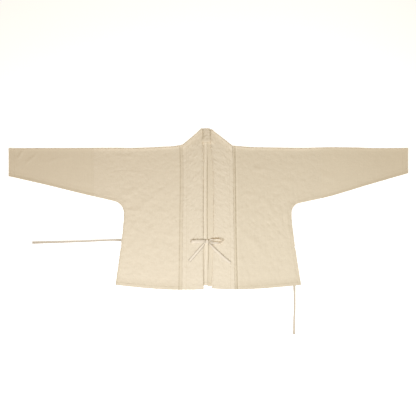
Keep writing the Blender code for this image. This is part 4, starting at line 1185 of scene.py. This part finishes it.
def make_knot():
    """The turn of tape round the bow: a flattened ring with gathered ridges."""
    share = np.linspace(-1.0, 1.0, KNOT_ACROSS)
    straight, bend = 2 * KNOT_STRAIGHT, math.pi * KNOT_RADIUS
    at = np.linspace(0.0, 2 * (straight + bend), KNOT_AROUND, endpoint=False)[:, None]
    lap = np.mod(at, straight + bend)
    end = np.where(at < straight + bend, 1.0, -1.0)
    angle = bounded(lap / bend) * math.pi - math.pi / 2
    slide = end * (KNOT_STRAIGHT - np.maximum(lap - bend, 0.0))
    ray = stacked(0.0, np.cos(angle) * end, np.sin(angle) * end)
    ridge = KNOT_RIDGE * np.cos(math.pi * KNOT_RIDGES * share + RIDGES_SLANT * at / straight)
    bulge = KNOT_BULGE * (1.0 - share ** 2) + ridge * (1.0 - share ** RIDGE_POWER)
    wall = TAPE / 2 * np.sqrt(bounded(1.0 - share ** EDGE_POWER))
    width = KNOT_HALF * (1.0 + KNOT_WAVE * np.sin(KNOT_WAVES * at / straight))
    middle = KNOT_MIDDLE + stacked(share * width, slide, 0.0) + ray * KNOT_RADIUS
    ring = ring_of(middle + ray * (wall + bulge)[..., None], middle - ray * wall[:, None])
    faces = tube_faces(*ring.shape[:2], joined=True)[:, (0, 3, 2, 1)]
    flat_map = stacked(KNOT_HALF * ring_of(share[None], share[None]), at)
    # A painted highlight lightens the whole knot
    marks = cloth_marks(KNOT_HALF - np.abs(flat_map[..., 0]), rubbed=KNOT_HIGHLIGHT)
    return cloth_object("bow_turn", ring, faces, flat_map, marks)


knot = make_knot()
show(knot)

# %% [markdown]
# Everything here is held by lines of thread: along the turned hems and cuffs, down the strips
# beside the band, round the slits and along the tapes. Each line is dropped onto the finished
# cloth, and one set of geometry nodes turns it into stitches: it cuts the line at even steps, puts
# a small rounded thread at each, turned along the line, and sinks it a little. A texture of dashes
# would be cheaper, but it casts no shadow and looks flat from the side.

# %% Geometry nodes that sew a line
STITCH_PITCH = 0.0030
STITCH_LENGTH = 0.0021
STITCH_THICK = 0.00042
STITCH_UNEVEN = 0.12
STITCH_TILT = 0.10
STITCH_SEED = 7
THREAD_BALL = {"Segments": 6, "Rings": 4, "Radius": 0.5}


def fill(node, inputs):
    """Set each named input of a node, or link it to a socket."""
    for name, value in inputs.items():
        if isinstance(value, bpy.types.NodeSocket):
            node.id_data.links.new(value, node.inputs[name])
        else:
            node.inputs[name].default_value = value


def add_node(tree, kind, inputs=None, **settings):
    """A node with its settings and its inputs."""
    node = tree.nodes.new(kind)
    for name, value in settings.items():
        setattr(node, name, value)
    fill(node, inputs or {})
    return node


def result(tree, kind, inputs=None, **settings):
    """The first output of a new node that is in use."""
    node = add_node(tree, kind, inputs, **settings)
    return next(socket for socket in node.outputs if socket.enabled)


def maths(tree, operation, *values):
    """The result of a maths node on numbers or sockets."""
    return result(tree, "ShaderNodeMath", dict(enumerate(values)), operation=operation)


def node_group(name, kind, inputs, outputs):
    """A node group with its sockets, given as (name, kind, start value), and its inputs."""
    tree = bpy.data.node_groups.new(name, kind)
    for direction, rows in (("INPUT", inputs), ("OUTPUT", outputs)):
        for label, socket_kind, *value in rows:
            socket = tree.interface.new_socket(
                label, in_out=direction, socket_type="NodeSocket" + socket_kind)
            if value:
                socket.default_value = value[0]
    return tree, tree.nodes.new("NodeGroupInput").outputs


def random_between(tree, low, high, seed):
    """A random number for each point."""
    return result(tree, "FunctionNodeRandomValue", {"Min": low, "Max": high, "Seed": seed},
                  data_type="FLOAT")


def stitch_tree():
    """Nodes that turn curves into rows of stitches."""
    tree, given = node_group("row_of_stitches", "GeometryNodeTree", (
        ("Lines", "Geometry"), ("Pitch", "Float", STITCH_PITCH), ("Length", "Float", STITCH_LENGTH),
        ("Thickness", "Float", STITCH_THICK), ("Unevenness", "Float", STITCH_UNEVEN),
        ("Tilt", "Float", STITCH_TILT), ("Seed", "Int", STITCH_SEED), ("Thread", "Material")),
        (("Stitches", "Geometry"),))
    cut = result(tree, "GeometryNodeResampleCurve", {
        "Curve": given["Lines"], "Length": given["Pitch"]}, mode="LENGTH")
    ball = result(tree, "GeometryNodeMeshUVSphere", THREAD_BALL)
    smooth = result(tree, "GeometryNodeSetShadeSmooth", {"Geometry": ball})
    along = result(tree, "FunctionNodeAlignRotationToVector", {
        "Vector": result(tree, "GeometryNodeInputTangent")}, axis="X")
    least = maths(tree, "SUBTRACT", 1.0, given["Unevenness"])
    most = maths(tree, "ADD", 1.0, given["Unevenness"])
    size = random_between(tree, least, most, given["Seed"])
    back = maths(tree, "SUBTRACT", 0.0, given["Tilt"])
    spin = result(tree, "FunctionNodeAxisAngleToRotation", {
        "Axis": tuple(UP), "Angle": random_between(tree, back, given["Tilt"], given["Seed"])})
    turned = result(tree, "FunctionNodeRotateRotation", {
        "Rotation": along, "Rotate By": spin}, rotation_space="LOCAL")
    scale = result(tree, "ShaderNodeCombineXYZ", {
        "X": maths(tree, "MULTIPLY", given["Length"], size), "Y": given["Thickness"],
        "Z": given["Thickness"]})
    sewn = result(tree, "GeometryNodeInstanceOnPoints", {
        "Points": cut, "Instance": smooth, "Rotation": turned, "Scale": scale})
    real = result(tree, "GeometryNodeRealizeInstances", {"Geometry": sewn})
    finished = result(tree, "GeometryNodeSetMaterial", {
        "Geometry": real, "Material": given["Thread"]})
    add_node(tree, "NodeGroupOutput", {"Stitches": finished})
    return tree


SEWING = stitch_tree()
print("sewing nodes:", len(SEWING.nodes))

# %% Lines to sew
LINE_STEP = 0.004
SINK = 0.00008
HEM_INSET = 0.0016
LINE_END = 0.004
STRIP_INSET = 0.0012
STRIP_FOOT_OUT = 0.110
STRIP_LINE_TOP = 0.240
HEM_LINE_FROM = 0.109
SLIT_INSET = 0.0115
SLIT_LINE_END = 0.003
BACK_INSET = 0.0014
BACK_LINE_TOP = 0.250
BACK_HEM_FROM = 0.0025
BACK_HEM_END = 0.001
BACK_HEM_LEVEL = -0.30
CUFF_LINE_ENDS = (0.002, 0.003)
BAND_INSET = 0.0045
BAND_LINE_ENDS = (-0.318, 0.290)
TAPE_INSET = 0.0018


def even(low, high):
    """Even places from low to high."""
    return np.linspace(low, high, max(2, int(abs(high - low) / LINE_STEP)))


def panel_lines(plan):
    """Lines of thread on a body panel: strip, hem, slit and its end, and the back."""
    strip_y = even(plan.hem(STRIP_FOOT_OUT) + LINE_END, STRIP_LINE_TOP)
    strip = plan.band_outer(strip_y) + SEAM_GAP
    strip += smooth_line(plan.half.strip, strip_y) - STRIP_INSET
    hem = even(HEM_LINE_FROM, plan.side(HEM_SIDE) - LINE_END)
    slit_y = even(SLIT_TOP, HEM_SIDE + SLIT_LINE_END)
    slit_end = plan.side(SLIT_TOP) - even(SLIT_INSET, SLIT_LINE_END)
    lines = [(strip, strip_y), (hem, plan.hem(hem) + HEM_WIDTH - HEM_INSET),
             (plan.side(slit_y) - SLIT_INSET, slit_y), (slit_end, SLIT_TOP)]
    if plan.half is RIGHT:
        y = even(plan.back_hem(0.0) + LINE_END, BACK_LINE_TOP)
        seam = CENTRE_SEAM_X + smooth_line(CENTRE_SHIFT, y)
        lines.append((ALLOWANCE_WIDTH - BACK_INSET - seam, y))
    inner = even(BACK_HEM_FROM, plan.band_inner(BACK_HEM_LEVEL) - BACK_HEM_END)
    return lines + [(inner, plan.back_hem(inner) + HEM_WIDTH - HEM_INSET)]


def sleeve_lines(plan):
    """Lines of thread on a sleeve, along both turns of the cuff's hem."""
    lines, (low, high) = [], CUFF_LINE_ENDS
    for turn in (CUFF_HEM, CUFF_LINE):
        out = CUFF_OUT - turn + HEM_INSET
        lines.append((out, even(plan.under(out)[0][1] + low, plan.shoulder(out) - high)))
    return lines


def band_lines(plan):
    """A line of thread along the band's free edge on one front."""
    y = even(*BAND_LINE_ENDS)
    return [(plan.band_inner(y) + BAND_INSET, y)]


def tape_lines(route):
    """A line of thread along one edge of a tape, on the face that looks up."""
    up = np.where(route.face[:, 2:3] < 0, -1.0, 1.0)
    rise = route.face * up * (TAPE / 2 + STITCH_THICK / 2 - SINK)
    return [route.middle + route.across * (route.width[:, None] / 2 - TAPE_INSET) + rise]


print("lines to sew on the right panel:", len(panel_lines(PLANS["right"])))

# %% Sew lines onto a finished piece
DROP_FROM = 0.05
TAPE_PITCH = 0.0026


def dropped(made, plan, lines):
    """Lines of a plan laid onto a finished piece from above, as 3-D points."""
    surface = BVHTree.FromObject(made, bpy.context.evaluated_depsgraph_get())
    laid = []
    for line in lines:
        hits = [surface.ray_cast(Vector(place), Vector(-UP))[0]
                for place in plan.points(*line, DROP_FROM)]
        laid.append([(*hit.xy, hit.z + STITCH_THICK / 2 - SINK) for hit in hits if hit is not None])
    return laid


def sew(name, lines, pitch=STITCH_PITCH):
    """Turn lines of 3-D points into one plain mesh of stitches."""
    curve = bpy.data.curves.new(name + "_lines", "CURVE")
    curve.dimensions = "3D"
    for line in lines:
        spline = curve.splines.new("POLY")
        spline.points.add(len(line) - 1)
        spline.points.foreach_set("co", np.hstack([line, np.ones((len(line), 1))]).ravel())
    source = in_scene(name + "_lines", curve)
    modifier = source.modifiers.new("sewing", "NODES")
    modifier.node_group = SEWING
    sockets = {item.name: item.identifier for item in SEWING.interface.items_tree
               if item.in_out == "INPUT"}
    modifier[sockets["Pitch"]] = pitch
    modifier[sockets["Length"]] = pitch * STITCH_LENGTH / STITCH_PITCH
    modifier[sockets["Seed"]] = len(lines)
    modifier[sockets["Thread"]] = materials["sewing_thread"]
    depsgraph = bpy.context.evaluated_depsgraph_get()
    mesh = bpy.data.meshes.new_from_object(source.evaluated_get(depsgraph), depsgraph=depsgraph)
    bpy.data.objects.remove(source, do_unlink=True)
    mesh.name = name
    return in_scene(name, mesh)


print("tapes have a stitch every", TAPE_PITCH * 1000, "mm, and the rest every", STITCH_PITCH * 1000)

# %% [markdown]
# The cloth is a plain weave of uneven cotton and linen yarn. Up close it has single threads, some
# thicker than others; from a step away only faint mottling is left, and darker lines where thread
# pulls the layers together. The colour also carries painted shade along hems, seam edges, the band
# and the tapes, and painted highlights on folds, ridges, tapes and the knot. The weave is worked
# out from sines and noise on a map in metres, so it keeps its real scale on every piece. A
# photographed texture would tie it to one piece of cloth.

# %% Node groups of the cloth
THREAD_PITCH = 0.00062
Noise = namedtuple("Noise", "scale detail along_x along_y", defaults=(1.0, 1.0))
WARP = Noise(620.0, 1.0, 1.0, 0.020)
WEFT = Noise(540.0, 1.0, 0.024, 1.0)
BLOTCHES = Noise(22.0, 3.0)
SPECKS = Noise(160.0, 2.0)
CRUMPLES = Noise(62.0, 2.0)
NOISE_ROUGHNESS = 0.6
YARN_LIGHT = (0.10, 0.95)
BLOTCH_LIGHT = 0.045
SPECK_LIGHT = 0.080
HIGHLIGHT_STRENGTH = 0.085
LINE_DARK = -0.42
LINE_WARM = 0.35
CRUMPLE_RISE = 0.0011
WEAVE_STRENGTH = 0.6
WEAVE_RISE = 0.00016
ROUGH = 0.92
HIGHLIGHT_ROUGH = -0.06


def noise_on(tree, place, noise):
    """Noise about one half, stretched along x or y."""
    stretched = result(tree, "ShaderNodeMapping", {
        "Vector": place, "Scale": (noise.along_x, noise.along_y, 1.0)})
    return result(tree, "ShaderNodeTexNoise", {
        "Vector": stretched, "Scale": noise.scale, "Detail": noise.detail,
        "Roughness": NOISE_ROUGHNESS})


def line_group():
    """A mask that is 1 on a line at a distance from an edge, and 0 away from it."""
    tree, given = node_group("line_at_distance", "ShaderNodeTree", (
        ("Distance", "Float", 1.0), ("Place", "Float", 0.012), ("Width", "Float", 0.001)),
        (("Mask", "Float"),))
    off = maths(tree, "ABSOLUTE", maths(tree, "SUBTRACT", given["Distance"], given["Place"]))
    mask = result(tree, "ShaderNodeMapRange", {
        "Value": maths(tree, "DIVIDE", off, given["Width"]), "From Min": 0.0, "From Max": 1.0,
        "To Min": 1.0, "To Max": 0.0}, interpolation_type="SMOOTHSTEP")
    add_node(tree, "NodeGroupOutput", {"Mask": mask})
    return tree


def weave_group():
    """Threads that pass over and under each other, some thicker than others."""
    tree, given = node_group("plain_weave", "ShaderNodeTree", (
        ("Map", "Vector"), ("Pitch", "Float", THREAD_PITCH)),
        (("Height", "Float"), ("Yarn", "Float")))
    parts = add_node(tree, "ShaderNodeSeparateXYZ", {"Vector": given["Map"]}).outputs
    turns = [maths(tree, "MULTIPLY", maths(tree, "DIVIDE", parts[axis], given["Pitch"]), math.pi)
             for axis in "XY"]
    ridges = [maths(tree, "ABSOLUTE", maths(tree, "SINE", turn)) for turn in turns]
    checks = maths(tree, "MULTIPLY", *(maths(tree, "COSINE", turn) for turn in turns))
    over = maths(tree, "MULTIPLY_ADD", checks, 0.5, 0.5)
    under = maths(tree, "SUBTRACT", 1.0, over)
    raised = [maths(tree, "MULTIPLY", *pair) for pair in zip(ridges, (over, under))]
    height = maths(tree, "MAXIMUM", *raised)
    warp, weft = (noise_on(tree, given["Map"], noise) for noise in (WARP, WEFT))
    yarn = maths(tree, "MULTIPLY", maths(tree, "ADD", warp, weft), 0.5)
    add_node(tree, "NodeGroupOutput", {"Height": height, "Yarn": yarn})
    return tree


def cloth_group():
    """The whole look of the cloth: colour, roughness and normal."""
    tree, given = node_group("washed_cloth", "ShaderNodeTree", (
        ("Map", "Vector"), ("Tone", "Color", (0.8, 0.7, 0.5, 1.0)), ("Line", "Float", 0.0),
        ("Rub", "Float", 0.0), ("Crumple", "Float", 1.0)),
        (("Color", "Color"), ("Roughness", "Float"), ("Normal", "Vector")))
    weave = add_node(tree, "ShaderNodeGroup", {"Map": given["Map"]}, node_tree=WEAVE).outputs
    blotch, speck = (noise_on(tree, given["Map"], noise) for noise in (BLOTCHES, SPECKS))
    light = maths(tree, "MULTIPLY_ADD", weave["Yarn"], *YARN_LIGHT)
    for noise, share in ((blotch, BLOTCH_LIGHT), (speck, SPECK_LIGHT)):
        light = maths(tree, "MULTIPLY_ADD", maths(tree, "SUBTRACT", noise, 0.5), share, light)
    # A painted highlight lightens the colour, and the lines darken it: stitched seams, and painted
    # shade
    for name, share in (("Rub", HIGHLIGHT_STRENGTH), ("Line", LINE_DARK)):
        light = maths(tree, "MULTIPLY_ADD", given[name], share, light)
    colour = result(tree, "ShaderNodeHueSaturation", {
        "Color": given["Tone"], "Value": light,
        "Saturation": maths(tree, "MULTIPLY_ADD", given["Line"], LINE_WARM, 1.0)})
    crumpled = result(tree, "ShaderNodeBump", {
        "Height": noise_on(tree, given["Map"], CRUMPLES), "Strength": 1.0,
        "Distance": maths(tree, "MULTIPLY", given["Crumple"], CRUMPLE_RISE)})
    woven = result(tree, "ShaderNodeBump", {
        "Height": weave["Height"], "Strength": WEAVE_STRENGTH, "Distance": WEAVE_RISE,
        "Normal": crumpled})
    rough = maths(tree, "MULTIPLY_ADD", given["Rub"], HIGHLIGHT_ROUGH, ROUGH)
    add_node(tree, "NodeGroupOutput", {"Color": colour, "Roughness": rough, "Normal": woven})
    return tree


LINE, WEAVE = line_group(), weave_group()
CLOTH_LOOK = cloth_group()
print("node groups:", LINE.name + ",", WEAVE.name + ",", CLOTH_LOOK.name)

# %% Looks of the pieces
# A line has the mark that it follows, its distance and half its width in metres, and its darkness
Look = namedtuple("Look", "tone crumple lines")
# Tape lines: X darkens the edges, partly as rolled edges and partly as painted shade, and Z is
# painted shade on the bow's tails and left loop
TAPE_LINES = (("X", 0.0, 0.0020, 0.12), ("Z", 0.0, 0.0058, 0.85), ("Y", 0.0, 0.0016, 0.30))
# The lines at seams, strips, hems and cuffs are darker stitched lines, partly painted shade beside
# raised edges. The wide Y lines darken towards the hems and the Z lines towards the side and
# underside seams: painted shade. The band's centre line is painted shadow, and lines with a
# negative darkness are painted highlights. The left panel and the sleeves have a darker tone than
# the right panel as painted shade
LOOKS = {
    "panel_right": Look((0.804, 0.703, 0.538), 2.0, (
        ("X", 0.0, 0.0028, 0.18), ("X", 0.0062, 0.0080, 0.14), ("X", 0.0121, 0.0032, 0.48),
        ("Y", 0.0121, 0.0014, 0.14), ("Y", 0.0, 0.045, 0.16), ("Z", 0.0, 0.007, 0.22),
        ("Z", 0.0, 0.014, 0.10), ("centre", 0.0010, 0.0024, 0.80),
        ("centre", 0.0147, 0.0014, 0.10), ("centre", 0.0110, 0.0040, -0.26))),
    "panel_left": Look((0.777, 0.678, 0.515), 1.5, (
        ("X", 0.0, 0.0016, 0.20), ("X", 0.0050, 0.0080, 0.14), ("X", 0.0121, 0.0034, 0.70),
        ("X", 0.0178, 0.0030, -0.14), ("Y", 0.0121, 0.0014, 0.14), ("Y", 0.0, 0.045, 0.16),
        ("Z", 0.0055, 0.0030, 0.13), ("Z", 0.0130, 0.0050, 0.10),
        ("centre", 0.0, 0.0012, 0.30))),
    "sleeve": Look((0.786, 0.685, 0.517), 0.8, (
        ("X", 0.0090, 0.0050, 0.03), ("Y", 0.0230, 0.0030, 0.14), ("Y", 0.0090, 0.0012, 0.12),
        ("Z", 0.0, 0.019, 0.18), ("Z", 0.0, 0.009, 0.14))),
    "band": Look((0.822, 0.722, 0.559), 3.2, (
        ("X", 0.0, 0.0010, 0.30), ("X", 0.016, 0.0016, 0.22), ("X", 0.0235, 0.0014, 0.10),
        ("Z", 0.0055, 0.0012, 0.12), ("Y", 0.0, 0.045, 0.10),
        ("centre", 0.0, FREE_EDGE_SHADE, 0.70))),
    "tape": Look((0.835, 0.742, 0.604), 0.5, TAPE_LINES),
    # The side ties are the same cloth as the tapes; their darker tones are painted shade, as they
    # stand on edge
    "side_tie_right": Look((0.550, 0.476, 0.372), 0.5, TAPE_LINES),
    "side_tie_left": Look((0.640, 0.558, 0.445), 0.5, TAPE_LINES)}
print("looks:", ", ".join(LOOKS))

# %% Materials
THREAD_TONE = (0.750, 0.650, 0.485)
THREAD_TWIST = Noise(900.0, 1.0)
THREAD_LIGHT = (0.30, 0.85)
THREAD_ROUGH = 0.62
WANDER = Noise(70.0, 2.0)
LINE_WANDER = 0.0016
PATCHES = Noise(38.0, 2.0)
LINE_PATCHY = 0.45
SHEEN = {"Sheen Weight": 0.12, "Sheen Roughness": 0.5, "Specular IOR Level": 0.25}


def new_material(name):
    """A material with nodes, with its node tree and its shader."""
    material = bpy.data.materials.new(name)
    material.use_nodes = True
    return material, material.node_tree, material.node_tree.nodes["Principled BSDF"]


def cloth_material(name, look):
    """A cloth material with its own tone and its own dark lines, some of them painted shade."""
    material, tree, shader = new_material(name)
    place = result(tree, "ShaderNodeUVMap", uv_map="cloth_map")
    cloth = add_node(tree, "ShaderNodeGroup", {
        "Map": place, "Tone": (*look.tone, 1.0), "Crumple": look.crumple},
        node_tree=CLOTH_LOOK)
    edges, centre, rubbed = (
        add_node(tree, "ShaderNodeAttribute", attribute_name=mark).outputs for mark, *_ in MARKS)
    marks = add_node(tree, "ShaderNodeSeparateXYZ", {"Vector": edges["Vector"]}).outputs
    marks = {**dict(marks.items()), "centre": centre["Fac"]}
    wander = maths(tree, "MULTIPLY_ADD", noise_on(tree, place, WANDER), LINE_WANDER,
                   -LINE_WANDER / 2)
    patchy = maths(tree, "MULTIPLY_ADD", noise_on(tree, place, PATCHES), 2 * LINE_PATCHY,
                   1.0 - LINE_PATCHY)
    total = 0.0
    for mark, at, width, dark in look.lines:
        mask = result(tree, "ShaderNodeGroup", {
            "Distance": maths(tree, "ADD", marks[mark], wander), "Place": at, "Width": width},
            node_tree=LINE)
        total = maths(tree, "MULTIPLY_ADD", mask, dark, total)
    fill(cloth, {"Line": maths(tree, "MULTIPLY", total, patchy),
                 "Rub": maths(tree, "MULTIPLY", rubbed["Fac"], patchy)})
    colour, rough, normal = cloth.outputs
    fill(shader, {"Base Color": colour, "Roughness": rough, "Normal": normal, **SHEEN})
    return material


def thread_material():
    """Sewing thread: a little darker and shinier than the cloth."""
    material, tree, shader = new_material("sewing_thread")
    place = add_node(tree, "ShaderNodeTexCoord").outputs["Object"]
    twist = maths(tree, "MULTIPLY_ADD", noise_on(tree, place, THREAD_TWIST), *THREAD_LIGHT)
    colour = result(tree, "ShaderNodeHueSaturation", {
        "Color": (*THREAD_TONE, 1.0), "Value": twist})
    fill(shader, {"Base Color": colour, "Roughness": THREAD_ROUGH})
    return material


materials = {name: cloth_material(name, look) for name, look in LOOKS.items()}
materials["sewing_thread"] = thread_material()
print("materials:", ", ".join(materials))

# %% Dress and sew every piece
for name, made in (*tapes.items(), ("tape", knot), ("band", collar)):
    made.data.materials.append(materials.get(name, materials["tape"]))
for half in HALVES:
    bodies[half.name].data.materials.append(materials["panel_" + half.name])
    sleeves[half.name].data.materials.append(materials["sleeve"])

stitches, band_rows = {}, []
for name, plan in PLANS.items():
    lines = dropped(bodies[name], plan, panel_lines(plan))
    lines += dropped(sleeves[name], plan, sleeve_lines(plan))
    stitches[name] = sew("stitches_" + name, lines)
    band_rows += dropped(collar, plan, band_lines(plan))
stitches["band"] = sew("stitches_band", band_rows)
tape_stitches = {name: sew(name + "_stitches", tape_lines(route), TAPE_PITCH)
                 for name, route in routes.items()}
show(*stitches.values(), *tape_stitches.values())

# %% [markdown]
# Each finished piece rides on the frame's one body and takes the place of the plain wall there.

# %% Hand the pieces to the frame
Piece = namedtuple("Piece", "made slot flat area")
PIECES = {
    "body_right": Piece(bodies["right"], "panel_cloth", (0.457, 1.150), 0.381),
    "body_left": Piece(bodies["left"], "panel_cloth", (0.450, 1.150), 0.378),
    "sleeve_right": Piece(sleeves["right"], "sleeve_cloth", (0.340, 0.390), 0.104),
    "sleeve_left": Piece(sleeves["left"], "sleeve_cloth", (0.348, 0.410), 0.107),
    "collar_band": Piece(collar, "band_cloth", (0.084, 1.350), None)}
STITCH_SLOTS = {"right": "panel_cloth", "left": "panel_cloth", "band": "band_cloth"}


def hand_over(made, node=None):
    """Let a piece ride on the body, and in the place of a node if one is given."""
    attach(made, "root")
    if node:
        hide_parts(node)


for node, piece in PIECES.items():
    hand_over(piece.made, node)
for name, slot_name in STITCH_SLOTS.items():
    hand_over(stitches[name])
hand_over(knot, "bow_knot")
for name, plan in TAPES.items():
    hand_over(tapes[name], name)
    hand_over(tape_stitches[name])
print("pieces handed over:", len(PIECES) + 2 * len(TAPES) + len(stitches) + 1)

# %% [markdown]
# The picture was taken on white, with soft light that is strongest low on the left front and falls
# off towards the cuffs and the collar. One soft cool light stands low on the left, a second one on
# the right evens it out, and a warm pale sky fills the shadows. The white floor glows a little
# itself, since a photographed cut-out has no shadow round it, and here only a faint one is wanted.

# %% Floor and light
FLOOR_Z = -0.0004
FLOOR_HALF = 9.0
WHITE = (1.0, 1.0, 1.0, 1.0)
FLOOR_LOOK = {
    "Base Color": (0.90, 0.90, 0.90, 1.0), "Roughness": 0.85, "Specular IOR Level": 0.1,
    "Emission Color": WHITE, "Emission Strength": 0.55}
Lamp = namedtuple("Lamp", "name place size power colour")
LAMPS = (
    Lamp("low_light_left", (-0.76, -0.80, 1.13), 0.60, 13.6, (0.80, 0.87, 1.0)),
    Lamp("soft_light_above", (0.60, -0.40, 1.22), 0.50, 10.4, (0.77, 0.87, 0.98)))
SKY = (0.334, 0.245, 0.130, 1.0)

floor_mesh = bpy.data.meshes.new("pale_floor")
corners = [(x * FLOOR_HALF, y * FLOOR_HALF, FLOOR_Z)
           for x, y in ((-1, -1), (1, -1), (1, 1), (-1, 1))]
floor_mesh.from_pydata(corners, [], [(0, 1, 2, 3)])
floor_material, _, floor_shader = new_material("pale_floor")
fill(floor_shader, FLOOR_LOOK)
floor_mesh.materials.append(floor_material)
in_scene("pale_floor", floor_mesh)

for lamp in LAMPS:
    light = bpy.data.lights.new(lamp.name, "AREA")
    light.shape = "DISK"
    light.size = lamp.size
    light.energy = lamp.power
    light.color = lamp.colour
    made = in_scene(lamp.name, light)
    made.location = lamp.place
    made.rotation_euler = Vector(lamp.place).to_track_quat("Z", "Y").to_euler()

world = bpy.data.worlds.new("pale_sky")
world.use_nodes = True
sky = world.node_tree
fill(sky.nodes["Background"], {"Color": SKY})
seen = result(sky, "ShaderNodeBackground", {"Color": WHITE})
is_camera_ray = result(sky, "ShaderNodeLightPath")
choice = result(sky, "ShaderNodeMixShader", {
    0: is_camera_ray, 1: sky.nodes["Background"].outputs[0], 2: seen})
fill(sky.nodes["World Output"], {"Surface": choice})
bpy.context.scene.world = world
bpy.context.scene.view_settings.view_transform = "Standard"
print("lamps:", len(LAMPS))
